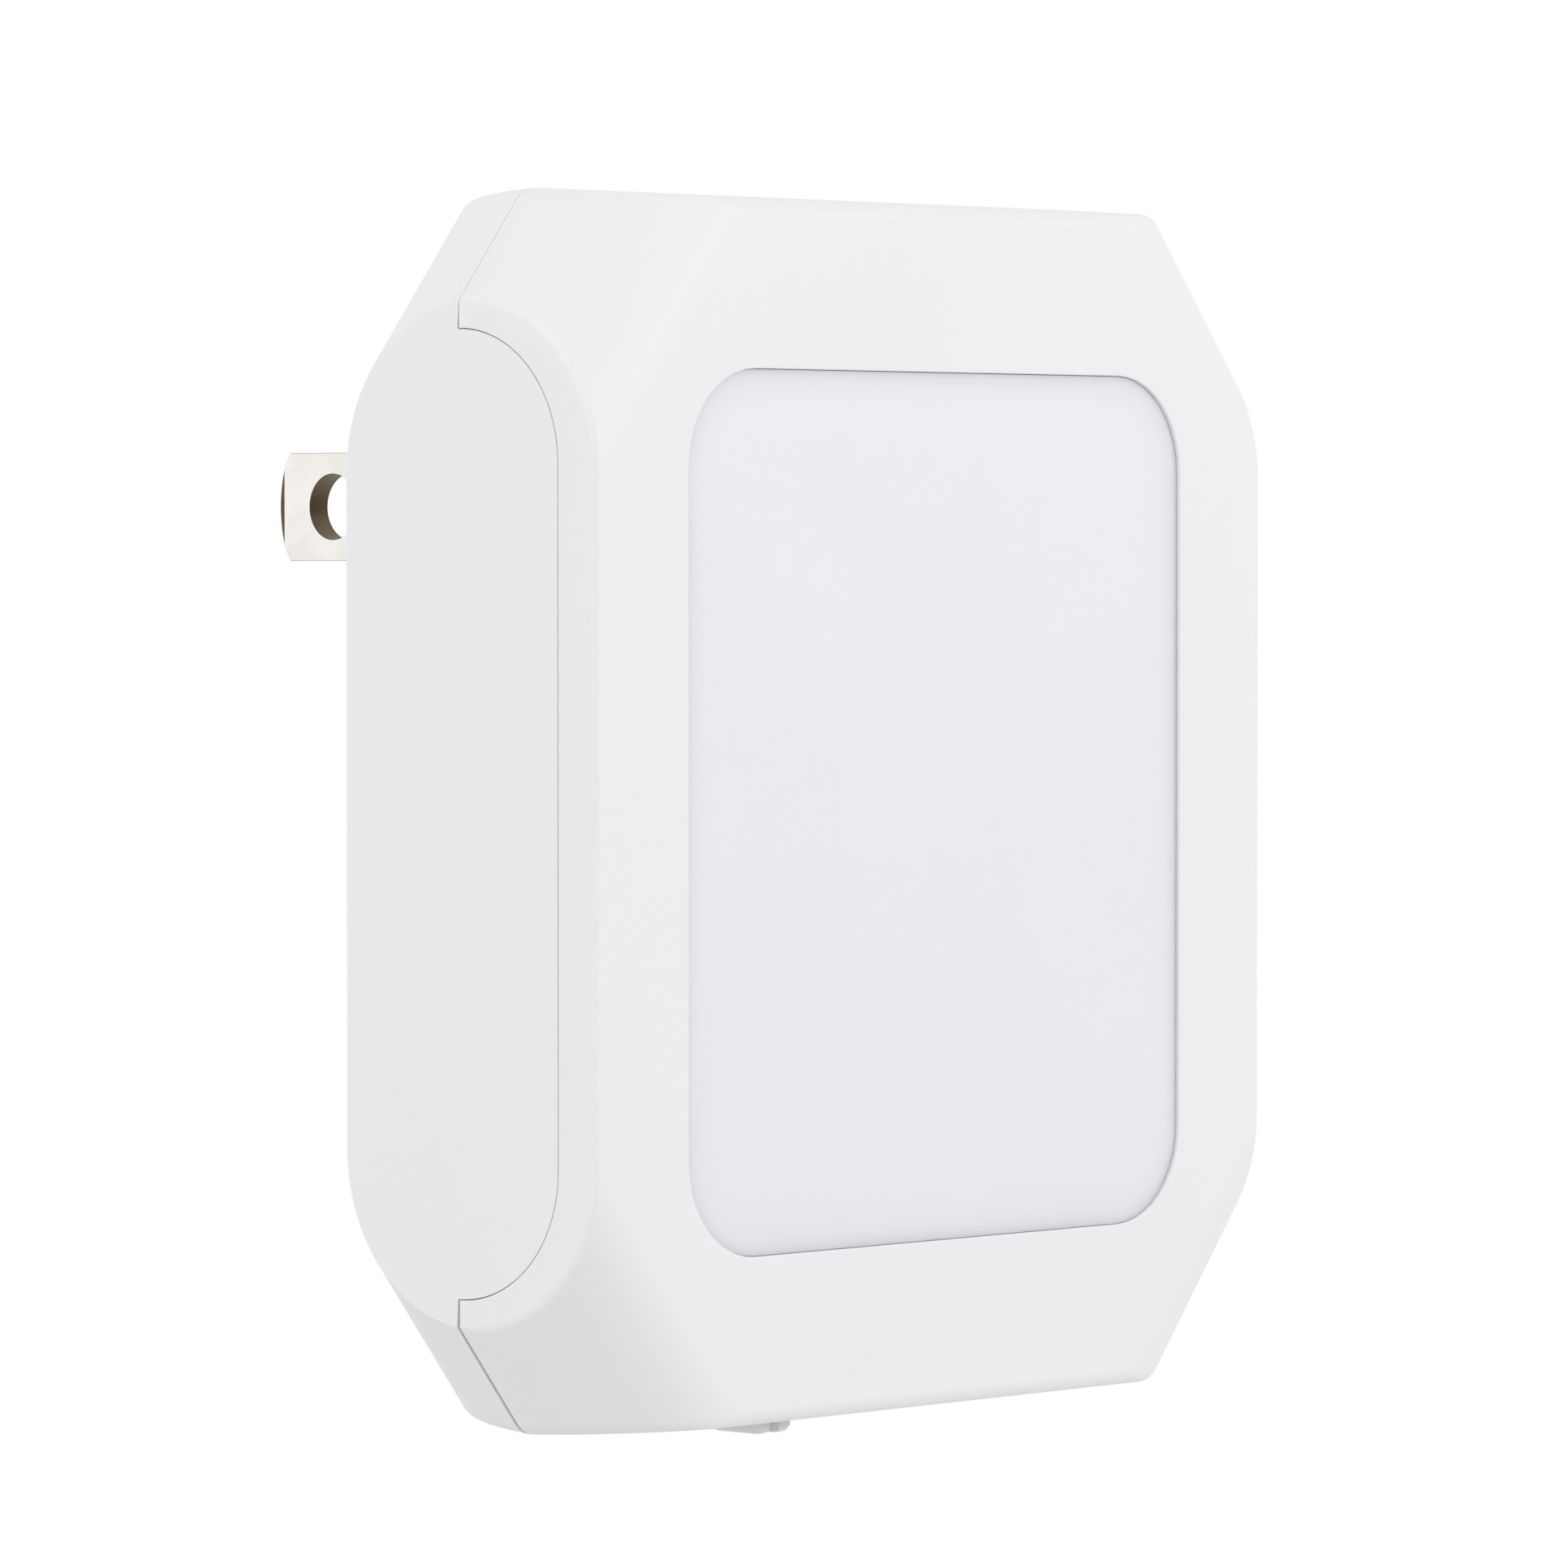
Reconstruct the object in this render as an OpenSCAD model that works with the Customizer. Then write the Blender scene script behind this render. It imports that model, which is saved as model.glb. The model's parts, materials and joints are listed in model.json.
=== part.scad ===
// Plug in night light: a flat eight-sided case of two shells with a wide diffuser in front,
// two flat plug blades behind and a small slide switch underneath.
// The origin is the middle of the plug's rear face, between the blades. +Y points into the
// wall, +Z is up and the diffuser faces -Y. All sizes are in millimetres.

/* [Case] */
// Width of the case across its flat side faces
body_w = 57; // [55:0.5:62]
// Height of the case
body_h = 69; // [68:0.5:76]
// Depth of the case, which the sloping corners round off completely
body_d = 19; // [18.5:0.1:21]
// How far the top and bottom taper in for each millimetre from the seam
end_taper = 0.035; // [0:0.005:0.06]
// Bevel along the front and back edges of the top and bottom
end_bevel = 0.8; // [0.3:0.1:1.2]
// Height of the flat side faces
side_h = 56.4; // [54:0.2:59]
// Width that each sloping corner takes off the case
corner_w = 5.1; // [4:0.1:7]
// Wall thickness of both shells
wall = 1.8; // [1.5:0.1:2]
// Depth of the back shell, from the back face to the seam
back_depth = 8.7; // [8.4:0.1:9]
// Gap that the seam shows between the shells
seam_gap = 0.15; // [0.1:0.01:0.25]
// Rim of front shell left in front of each side tongue of the back shell
tongue_front = 2.9; // [2.4:0.1:3.6]
// Rim of front shell left above and below each side tongue
tongue_rim = 1.6; // [1.2:0.1:2.4]
// Length of each locating tab that keeps the shells in line
tab_w = 8; // [5:0.5:12]
// Thickness of each locating tab
tab_t = 0.8; // [0.6:0.1:1.2]
// How far each locating tab reaches into the front shell
tab_reach = 1.5; // [1:0.1:2]
// Distance of each locating tab from the middle of the case
tab_x = 14; // [9:0.5:16]

/* [Diffuser] */
// Border between the diffuser and the side faces
side_border = 7.4; // [7.4:0.1:10]
// Border between the diffuser and the top and bottom edges
end_border = 10; // [9.8:0.1:12]
// Corner radius of the diffuser's opening
lens_r = 5; // [3:0.5:7]
// Gap all round the diffuser in its opening
lens_gap = 0.3; // [0.15:0.05:0.4]
// How far the diffuser's face lies behind the front face
lens_sink = 0.2; // [0:0.05:0.4]
// Width of the bevel round the diffuser's face
lens_bevel = 0.6; // [0.3:0.1:1]
// Width of the flange that holds the diffuser behind the front wall
flange_lip = 0.8; // [0.6:0.05:0.85]
// Thickness of that flange
flange_t = 1; // [0.8:0.1:1.2]

/* [Light box] */
// Room for components between the board and the back wall
part_room = 6.2; // [6:0.1:6.8]
// Side wall thickness of the reflector tray
tray_wall = 1.2; // [0.8:0.1:1.6]
// Floor thickness of the reflector tray
tray_floor = 0.8; // [0.6:0.1:1]
// Diameter of each window in the tray's floor
window_d = 5.4; // [5:0.1:7]
// Number of columns of light-emitting diodes
led_cols = 2; // [1:1:3]
// Number of rows of light-emitting diodes
led_rows = 4; // [2:1:4]
// Spacing of the columns
led_pitch_x = 18; // [10:0.5:19]
// Spacing of the rows
led_pitch_z = 12; // [9:0.5:14]
// Width of each diode package
led_w = 3.5; // [2.8:0.1:4]
// Height of each diode package
led_h = 2.8; // [2:0.1:3]
// Thickness of each diode package
led_t = 0.8; // [0.5:0.1:1]
// Diameter of the yellow cup in each package
led_cup_d = 2.2; // [1.6:0.1:2.4]
// Depth of the yellow cup in each package
led_cup_t = 0.25; // [0.2:0.05:0.4]

/* [Plug] */
// Height of the plug's middle above the middle of the case
plug_rise = 17; // [15:0.2:18]
// Depth of the plug block behind the case
base_d = 10.4; // [8:0.2:12]
// Width of the plug block
base_w = 27; // [26:0.5:32]
// Height of the plug block
base_h = 24; // [22:0.5:26]
// How far the plug block's middle lies below the blades
base_drop = 2; // [1:0.2:3]
// Corner radius of the plug block
base_r = 5; // [3.5:0.5:6]
// Spacing of the blades between their middles
blade_pitch = 12.7; // [12.5:0.1:13]
// Height of each blade
blade_w = 6.35; // [6.1:0.05:6.5]
// Thickness of each blade
blade_t = 1.5; // [1.4:0.02:1.6]
// Length of each blade in front of the plug's rear face
blade_len = 16.4; // [15.9:0.1:18.2]
// Radius of each blade's curved tip
blade_tip_r = 5.8; // [4:0.2:10]
// Length of the bevel at each blade's tip
blade_bevel = 0.8; // [0.4:0.1:1.2]
// Diameter of the hole in each blade
blade_hole_d = 3.9; // [3.5:0.1:4.1]
// Distance of that hole's middle from the blade's tip
blade_hole_in = 4.5; // [4:0.1:5]
// Length of each blade's shank inside the plug block
shank_len = 11; // [10:0.5:12]
// Height of each blade's shank behind its shoulder
shank_w = 8.4; // [8:0.1:9]
// Width of the insert's face between the shells' rim
insert_w = 20; // [18.5:0.5:21]
// Height of the insert's face
insert_h = 11; // [10:0.5:12]
// Corner radius of the insert's face
insert_r = 2; // [1:0.5:3]
// Width of the flange round the insert
insert_lip = 1.2; // [1:0.1:1.4]
// Thickness of the flange round the insert
insert_flange_t = 2.2; // [1.8:0.1:2.6]
// Thickness of each contact strip
strip_t = 0.5; // [0.4:0.05:0.6]
// Width of each contact strip
strip_w = 4; // [3.5:0.1:5]
// Length of each contact strip's foot on the board
strip_foot = 4; // [3:0.2:5]
// Diameter of each rivet
rivet_d = 1.6; // [1.2:0.1:2]
// Diameter of each rivet's heads
rivet_head_d = 2.8; // [2.4:0.1:3.2]
// Thickness of each rivet's heads
rivet_head_t = 0.5; // [0.3:0.1:0.7]
// Distance of each rivet from the blade's inner end
rivet_in = 3; // [2.4:0.1:3.5]

/* [Switch] */
// Travel of the switch's knob
knob_travel = 1.5; // [1:0.1:2]
// Width of the knob's stem along its slot
knob_w = 2.4; // [2:0.1:3]
// Depth of the knob's stem across its slot
knob_d = 1.7; // [1.4:0.1:2]
// Clearance all round the stem in its slot
knob_gap = 0.15; // [0.1:0.01:0.2]
// How far the knob's grip reaches below the case
knob_out = 1.7; // [1.3:0.1:2.1]
// Width of the grip along the slot
grip_w = 2.8; // [2.6:0.1:3.6]
// Depth of the grip, from the stem's front towards the wall
grip_d = 3.8; // [3:0.1:4.4]
// Gap between the grip and the case above it
grip_gap = 0.35; // [0.3:0.05:0.5]
// Bevel round the grip's end
grip_bevel = 0.4; // [0.2:0.05:0.5]
// Width of the groove between the grip's two ridges
groove_w = 0.8; // [0.5:0.1:1.1]
// Thickness of the grip above that groove
grip_web = 0.4; // [0.3:0.05:0.5]
// Height of the switch's can above the case's lower wall
can_rise = 2.4; // [1.8:0.1:2.8]
// Width of the switch's can
can_w = 9; // [8.6:0.1:11]
// Depth of the switch's can, away from the board
can_d = 3.8; // [3.6:0.1:4.2]
// Height of the switch's can
can_h = 3.8; // [3.6:0.1:4.2]
// Sheet thickness of the switch's can
can_t = 0.3; // [0.2:0.05:0.4]
// Thickness of the insulator at the switch's base
insulator_t = 0.9; // [0.8:0.1:1.1]
// Width of the sliding carriage that the knob stands on
carriage_w = 5; // [4:0.1:5.4]
// Thickness of the bridge that slides over the pins
bridge_t = 0.3; // [0.2:0.05:0.4]
// Spacing of the switch's pins
pin_pitch = 2.5; // [2:0.1:2.8]
// Diameter of each pin
pin_d = 0.6; // [0.5:0.05:0.8]
// How far each pin shows beyond the board
pin_out = 0.5; // [0.3:0.1:1]
// Clearance round each pin in the board
pin_gap = 0.1; // [0.05:0.01:0.15]

/* [Circuit] */
// Thickness of the board
board_t = 1.6; // [1.2:0.1:1.6]
// Width of the film capacitor
film_w = 12; // [10:0.5:13]
// Height of the film capacitor
film_h = 9; // [7:0.5:11]
// Thickness of the film capacitor
film_t = 4.8; // [4:0.1:5]
// Diameter of the electrolytic capacitor
can_cap_d = 5; // [4:0.1:5]
// Length of the electrolytic capacitor
can_cap_len = 10; // [8:0.5:12]
// Side of the bridge rectifier's package
rectifier_w = 4.7; // [4:0.1:5]
// Thickness of the bridge rectifier's package
rectifier_t = 2.4; // [2:0.1:2.6]
// Length of the driver chip's package
chip_w = 4.9; // [4:0.1:5.2]
// Height of the driver chip's package
chip_h = 3.9; // [3:0.1:4]
// Thickness of the driver chip's package
chip_t = 1.5; // [1.2:0.1:1.8]
// Diameter of the fuse resistor
fuse_d = 3; // [2.4:0.1:3.4]
// Length of the fuse resistor's body
fuse_len = 8; // [7:0.5:9.5]
// Diameter of the wires on wired components
lead_d = 0.6; // [0.5:0.05:0.8]
// Length of each surface resistor
resistor_w = 3.2; // [2:0.1:3.4]
// Width of each surface resistor
resistor_h = 1.6; // [1.2:0.1:1.8]
// Thickness of each surface resistor
resistor_t = 0.55; // [0.4:0.05:0.7]
// Number of surface resistors
resistor_count = 3; // [2:1:4]

/* [Fixings] */
// Distance of the case screws below the middle of the case
screw_drop = 15; // [10:0.5:18]
// Diameter of the case screws
screw_d = 2; // [1.8:0.1:2.2]
// Length of the case screws below their heads
screw_len = 11; // [9:0.5:13]
// Diameter of the screws' heads
screw_head_d = 3.6; // [3.2:0.1:3.8]
// Thickness of the screws' heads
screw_head_t = 1.3; // [1:0.1:1.4]
// Depth of the screws' heads below the back face
screw_sink = 0.6; // [0.3:0.1:1]
// Radius of the front shell's screw posts
post_r = 2.1; // [1.9:0.05:2.1]
// Radius of the back shell's screw posts
boss_r = 2.8; // [2.6:0.1:3]
// Radius of the posts that hold the board
stay_r = 1.5; // [1.2:0.1:2]
// Distance of the board posts from the side walls
stay_in = 7.5; // [7:0.5:9]
// Distance of the board posts from the board's upper and lower edges
stay_end = 7.8; // [7.2:0.1:9.2]

/* [Fits] */
// Gap between pieces that lie beside each other in the case
fit_gap = 0.1; // [0.05:0.01:0.15]
// Gap between the screw posts and what passes beside them
side_gap = 0.3; // [0.2:0.05:0.4]
// Radial clearance of screws and rivets in their holes
hole_gap = 0.05; // [0.02:0.01:0.08]

/* [Hidden] */

// Facets of round features, and of the faceted case form
$fn = 48;
form_fn = 64;
// Overlap that joins neighbouring solids, and how far cuts run clear of what they cut
eps = 0.01;
over = 1;

// Places in the case's own frame: x from its middle, y behind its front face, z from its middle
front_y = -(base_d + body_d);
edge_r = body_d / 2;
half_w = body_w / 2;
half_h = body_h / 2;
half_side = side_h / 2;
cavity_back = body_d - wall;
seam_depth = body_d - back_depth;
// Slope of the corner faces, as the unit normal of the line between the two edges
slope_len = norm([corner_w, half_h - half_side]);
slope_x = (half_h - half_side) / slope_len;
slope_z = corner_w / slope_len;

// Half height of the case's form at a depth, for walls drawn in by an inset
function form_z(depth, inset) = half_h - inset - end_taper * abs(depth - seam_depth);

// Diffuser, tray and board, stacked between the front wall and the room for components
lens_w = body_w - 2 * side_border;
lens_h = body_h - 2 * end_border;
flange_w = lens_w + 2 * flange_lip;
flange_h = lens_h + 2 * flange_lip;
flange_front = wall + fit_gap;
flange_back = flange_front + flange_t;
tray_front = flange_back + fit_gap;
board_back = cavity_back - part_room;
board_front = board_back - board_t;
post_x = half_w - wall - post_r - 2 * fit_gap;
board_w = 2 * (post_x - post_r - side_gap);
tongue_r = seam_depth - tongue_front;

// Switch: the can lies on the board with its knob pointing down
can_y = board_back + can_d / 2;
can_bottom = can_rise - form_z(can_y, wall);
can_top = can_bottom + can_h;
board_h = -2 * can_bottom;
slot_w = knob_w + knob_travel + 2 * knob_gap;
slot_d = knob_d + 2 * knob_gap;
knob_rest_x = -knob_travel / 2;
knob_front = can_y - knob_d / 2;
grip_top = -half_h - grip_gap;
insulator_back = board_back + insulator_t;
carriage_front = insulator_back + bridge_t + 2 * knob_gap;
carriage_back = board_back + can_d - can_t - knob_gap;
carriage_bottom = can_bottom + can_t + knob_gap;
carriage_top = can_top - can_t - 2 * knob_gap;
carriage_z = (carriage_top + carriage_bottom) / 2;
carriage_h = carriage_top - carriage_bottom;

// Plug: the insert's flange lies behind the plug block's rear wall
insert_front = -(wall + insert_flange_t);
blade_x = blade_pitch / 2;
strip_x = blade_x - blade_t / 2 - strip_t;
rivet_y = -shank_len + rivet_in;
strip_end = rivet_y + strip_w / 2;

// Screws: head sunk below the back face, shank through the back post into the front post
screw_seat = body_d - screw_sink - screw_head_t;
post_end = board_back + fit_gap;
post_hole = screw_seat - screw_len - side_gap;

// Places of components on the back of the board: in from its side edges, up from its lower edge
film_in = 10;
film_x = film_in - board_w / 2;
film_rise = 27.3;
can_cap_in = 11;
can_cap_x = board_w / 2 - can_cap_in;
can_cap_rise = 32.3;
rectifier_x = 0;
rectifier_rise = 21.3;
chip_in = 13;
chip_x = board_w / 2 - chip_in;
chip_rise = 18.3;
fuse_in = 5;
fuse_x = fuse_in - board_w / 2;
fuse_rise = 14.3;
resistor_in = 18;
resistor_x = board_w / 2 - resistor_in;
resistor_rise = 10.3;
resistor_pitch = 4.2;

module in_case() {
    translate([0, front_y, -plug_rise]) children();
}

// Draws a flat outline in x and z, thick from one depth to the next
module along_y(from, to) {
    translate([0, to, 0]) rotate([90, 0, 0]) linear_extrude(to - from) children();
}

// Draws a flat outline in y and z, thick from one x to the next
module along_x(from, to) {
    translate([from, 0, 0]) rotate([90, 0, 90]) linear_extrude(to - from) children();
}

module round_rect(w, h, r) {
    square([w - 2 * r, h], center = true);
    square([w, h - 2 * r], center = true);
    for (x = [-1, 1], y = [-1, 1]) translate([x * (w / 2 - r), y * (h / 2 - r)]) circle(r);
}

// The outer form of the case, drawn in by an inset on every side
module case_form(inset) {
    reach = half_w * slope_x + half_side * slope_z - inset;
    side_z = (reach - (half_w - inset) * slope_x) / slope_z;
    // The corner faces run on past the top, which cuts them off
    peak_z = half_h + edge_r;
    peak_x = (reach - peak_z * slope_z) / slope_x;
    r = edge_r - inset;
    intersection() {
        hull() for (s = [-1, 1]) {
            round_bar(peak_x, s * (peak_z - r), r);
            round_bar(half_w - inset, s * (side_z - r), r);
        }
        along_x(-body_w, body_w) end_outline(inset);
    }
}

// The tapering top and bottom with their bevelled edges, in y and z
module end_outline(inset) {
    bevel = max(end_bevel - inset, eps);
    front = inset;
    back = body_d - inset;
    upper = [
        [front, form_z(front, inset) - bevel], [front + bevel, form_z(front + bevel, inset)],
        [seam_depth, form_z(seam_depth, inset)], [back - bevel, form_z(back - bevel, inset)],
        [back, form_z(back, inset) - bevel]
    ];
    polygon([for (p = upper) p, for (i = [len(upper) - 1 : -1 : 0]) [upper[i].x, -upper[i].y]]);
}

// A round bar along x, at a height
module round_bar(half_len, z, r) {
    translate([0, edge_r, z]) rotate([0, 90, 0])
        cylinder(h = 2 * half_len, r = r, center = true, $fn = form_fn);
}

// Everything in front of, or behind, a depth
module depth_slab(from, to) {
    translate([-body_w, from, -body_h]) cube([2 * body_w, to - from, 2 * body_h]);
}

// Outline of the side tongue and its root in the back shell, larger by a margin all round
module tongue_outline(margin) {
    r = tongue_r + margin;
    far = half_side - tongue_rim - tongue_r;
    intersection() {
        union() {
            for (s = [-1, 1]) translate([seam_depth, s * far]) circle(r);
            translate([seam_depth - r, -far]) square([2 * r, 2 * far]);
        }
        translate([0, -body_h]) square([seam_depth + wall, 2 * body_h]);
    }
}

// Both side tongues of the back shell, or the notches for them
module side_tongues(margin, inner, outer) {
    for (s = [0, 1]) mirror([s, 0, 0]) along_x(inner, outer) tongue_outline(margin);
}

module lens_opening(gap, lip) {
    round_rect(lens_w - 2 * gap + 2 * lip, lens_h - 2 * gap + 2 * lip, lens_r - gap + lip);
}

module front_shell() {
    color("whitesmoke") in_case() difference() {
        union() {
            difference() {
                intersection() {
                    case_form(0);
                    depth_slab(-over, seam_depth);
                }
                case_form(wall);
            }
            for (s = [-1, 1]) translate([s * post_x, 0, -screw_drop])
                along_y(wall - eps, post_end) circle(post_r);
        }
        along_y(-over, wall + eps) lens_opening(0, 0);
        side_tongues(seam_gap, half_w - wall - eps, half_w + over);
        for (s = [-1, 1]) translate([s * post_x, 0, -screw_drop])
            along_y(post_hole, post_end + over) circle(screw_d / 2 + hole_gap);
    }
}

module back_shell() {
    stay_x = half_w - wall - stay_in;
    stay_z = board_h / 2 - stay_end;
    tab_z = form_z(seam_depth - tab_reach, wall) - 2 * fit_gap;
    tab_front = seam_depth - tab_reach;
    tab_root = seam_depth + 2 * tab_reach;
    color("whitesmoke") in_case() difference() {
        union() {
            difference() {
                union() {
                    intersection() {
                        case_form(0);
                        depth_slab(seam_depth + seam_gap, body_d + over);
                    }
                    along_y(cavity_back - edge_r / 2, body_d + base_d) plug_outline(0);
                }
                case_form(wall);
                along_y(cavity_back - over, body_d + base_d - wall) plug_outline(wall);
            }
            side_tongues(0, half_w - wall, half_w);
            for (s = [-1, 1], t = [-1, 1]) translate([s * stay_x, 0, t * stay_z])
                along_y(board_back, cavity_back + eps) circle(stay_r);
            for (s = [-1, 1]) translate([s * post_x, 0, -screw_drop])
                along_y(post_end + fit_gap, cavity_back + eps) circle(boss_r);
            for (s = [-1, 1], t = [0, 1]) mirror([0, 0, t]) translate([s * tab_x - tab_w / 2, 0]) {
                translate([0, tab_front, tab_z - tab_t]) cube([tab_w, tab_root - tab_front, tab_t]);
                translate([0, seam_depth + seam_gap, tab_z - tab_t])
                    cube([tab_w, tab_root - seam_depth - seam_gap, half_h - wall / 2 - tab_z + tab_t]);
            }
        }
        along_y(body_d + base_d - wall - over, body_d + base_d + over)
            translate([0, plug_rise]) round_rect(insert_w, insert_h, insert_r);
        translate([-slot_w / 2, seam_depth, -half_h - over])
            cube([slot_w, can_y + slot_d / 2 - seam_depth, half_h + over + can_bottom]);
        for (s = [-1, 1]) translate([s * post_x, 0, -screw_drop]) {
            along_y(board_back - over, body_d + over) circle(screw_d / 2 + hole_gap);
            along_y(screw_seat, body_d + over) circle(screw_head_d / 2 + fit_gap);
        }
    }
}

// The plug block's outline behind the case, in x and z
module plug_outline(margin) {
    translate([0, plug_rise - base_drop])
        round_rect(base_w - 2 * margin, base_h - 2 * margin, base_r - margin);
}

module diffuser() {
    face = lens_sink + lens_bevel;
    color("ghostwhite") in_case() {
        hull() {
            along_y(lens_sink, face) lens_opening(lens_gap + lens_bevel, 0);
            along_y(face, face + eps) lens_opening(lens_gap, 0);
        }
        along_y(face, flange_front + eps) lens_opening(lens_gap, 0);
        along_y(flange_front, flange_back) round_rect(flange_w, flange_h, lens_r);
    }
}

// Calls its children at the place of every diode
module at_leds() {
    for (i = [0 : led_cols - 1], j = [0 : led_rows - 1])
        translate([(i - (led_cols - 1) / 2) * led_pitch_x, (j - (led_rows - 1) / 2) * led_pitch_z])
            children();
}

module reflector_tray() {
    floor_y = board_front - tray_floor;
    color("white") in_case() difference() {
        along_y(tray_front, board_front) round_rect(flange_w, flange_h, lens_r);
        along_y(tray_front - over, floor_y)
            round_rect(flange_w - 2 * tray_wall, flange_h - 2 * tray_wall, lens_r - tray_wall);
        along_y(floor_y - over, board_front + over) at_leds() circle(window_d / 2);
    }
}

module circuit_board() {
    color("mintcream") in_case() difference() {
        along_y(board_front, board_back) square([board_w, board_h], center = true);
        along_y(board_front - over, board_back + over) at_pins() circle(pin_d / 2 + pin_gap);
    }
}

module leds() {
    color("oldlace") in_case() difference() {
        along_y(board_front - led_t, board_front) at_leds() square([led_w, led_h], center = true);
        along_y(board_front - led_t - over, board_front - led_t + led_cup_t)
            at_leds() circle(led_cup_d / 2);
    }
}

module led_cups() {
    color("gold") in_case()
        along_y(board_front - led_t, board_front - led_t + led_cup_t) at_leds() circle(led_cup_d / 2);
}

// A box on the back of the board: its middle's x, and its height above the board's lower edge
module on_board(x, rise, w, h, t) {
    translate([x - w / 2, board_back, rise - board_h / 2 - h / 2]) cube([w, t, h]);
}

module film_capacitor() {
    color("gold") in_case() on_board(film_x, film_rise, film_w, film_h, film_t);
}

module electrolytic_capacitor() {
    groove = can_cap_d / 2 - lead_d / 2;
    color("slategray") in_case()
        translate([can_cap_x - can_cap_len / 2, board_back + can_cap_d / 2, can_cap_rise - board_h / 2])
            rotate([0, 90, 0]) rotate_extrude() polygon([
                [0, 0], [can_cap_d / 2, 0], [can_cap_d / 2, 2 * lead_d], [groove, 3 * lead_d],
                [can_cap_d / 2, 4 * lead_d], [can_cap_d / 2, can_cap_len], [0, can_cap_len]
            ]);
}

module bridge_rectifier() {
    color("dimgray") in_case()
        on_board(rectifier_x, rectifier_rise, rectifier_w, rectifier_w, rectifier_t);
}

module driver_chip() {
    color("dimgray") in_case() on_board(chip_x, chip_rise, chip_w, chip_h, chip_t);
}

module fuse_resistor() {
    span = fuse_len + 4 * lead_d;
    y = board_back + fuse_d / 2;
    color("seagreen") in_case() translate([fuse_x, 0, fuse_rise - board_h / 2]) {
        translate([0, y, 0]) cylinder(h = fuse_len, r = fuse_d / 2, center = true);
        translate([0, y, 0]) cylinder(h = span, r = lead_d / 2, center = true);
        for (s = [-1, 1]) translate([0, 0, s * (span - lead_d) / 2])
            along_y(board_back, y) circle(lead_d / 2);
    }
}

module surface_resistors() {
    color("black") in_case() for (i = [0 : resistor_count - 1])
        on_board(resistor_x + i * resistor_pitch, resistor_rise, resistor_w, resistor_h, resistor_t);
}

module switch_can() {
    color("silver") in_case() difference() {
        translate([-can_w / 2, board_back, can_bottom]) cube([can_w, can_d, can_h]);
        translate([-can_w / 2 + can_t, board_back - over, can_bottom + can_t])
            cube([can_w - 2 * can_t, can_d - can_t + over, can_h - 2 * can_t]);
        translate([-slot_w / 2, can_y - slot_d / 2, can_bottom - can_t])
            cube([slot_w, slot_d, 3 * can_t]);
    }
}

// Calls its children at the place of every switch pin
module at_pins() {
    for (i = [-1 : 1]) translate([i * pin_pitch, (can_top + can_bottom) / 2]) children();
}

module switch_insulator() {
    inner_w = can_w - 2 * (can_t + fit_gap);
    inner_h = can_h - 2 * (can_t + fit_gap);
    color("saddlebrown") in_case() difference() {
        translate([-inner_w / 2, board_back, can_bottom + can_t + fit_gap])
            cube([inner_w, insulator_t, inner_h]);
        along_y(board_back - over, insulator_back + over) at_pins() circle(pin_d / 2 + hole_gap);
    }
}

module switch_pins() {
    color("silver") in_case()
        along_y(board_front - pin_out, insulator_back) at_pins() circle(pin_d / 2);
}

module switch_knob() {
    stem_end = grip_top - grip_web / 2;
    color("gainsboro") in_case() translate([knob_rest_x, 0, 0]) {
        translate([-carriage_w / 2, carriage_front, carriage_bottom])
            cube([carriage_w, carriage_back - carriage_front, carriage_h]);
        translate([-knob_w / 2, knob_front, stem_end])
            cube([knob_w, knob_d, carriage_bottom + can_t - stem_end]);
        knob_grip();
    }
}

// The grip below the case: two ridges across the slot with a groove between them
module knob_grip() {
    tip = -half_h - knob_out;
    difference() {
        hull() {
            translate([-grip_w / 2, knob_front, tip + grip_bevel])
                cube([grip_w, grip_d, grip_top - tip - grip_bevel]);
            translate([-grip_w / 2 + grip_bevel, knob_front + grip_bevel, tip])
                cube([grip_w - 2 * grip_bevel, grip_d - 2 * grip_bevel, eps]);
        }
        translate([-groove_w / 2, knob_front - over, tip - over])
            cube([groove_w, grip_d + 2 * over, grip_top - grip_web - tip + over]);
    }
}

module switch_bridge() {
    color("goldenrod") in_case()
        translate([knob_rest_x - pin_pitch / 2 - pin_d, carriage_front - bridge_t, carriage_z - pin_d])
            cube([pin_pitch + 2 * pin_d, bridge_t, 2 * pin_d]);
}

module plug_insert() {
    color("whitesmoke") difference() {
        union() {
            along_y(-wall - eps, 0)
                round_rect(insert_w - 2 * fit_gap, insert_h - 2 * fit_gap, insert_r - fit_gap);
            along_y(insert_front, -wall)
                round_rect(insert_w + 2 * insert_lip, insert_h + 2 * insert_lip, insert_r);
        }
        for (s = [-1, 1]) along_y(insert_front - over, over) translate([s * blade_x, 0])
            square([blade_t + 2 * hole_gap, blade_w + 2 * hole_gap], center = true);
    }
}

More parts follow.
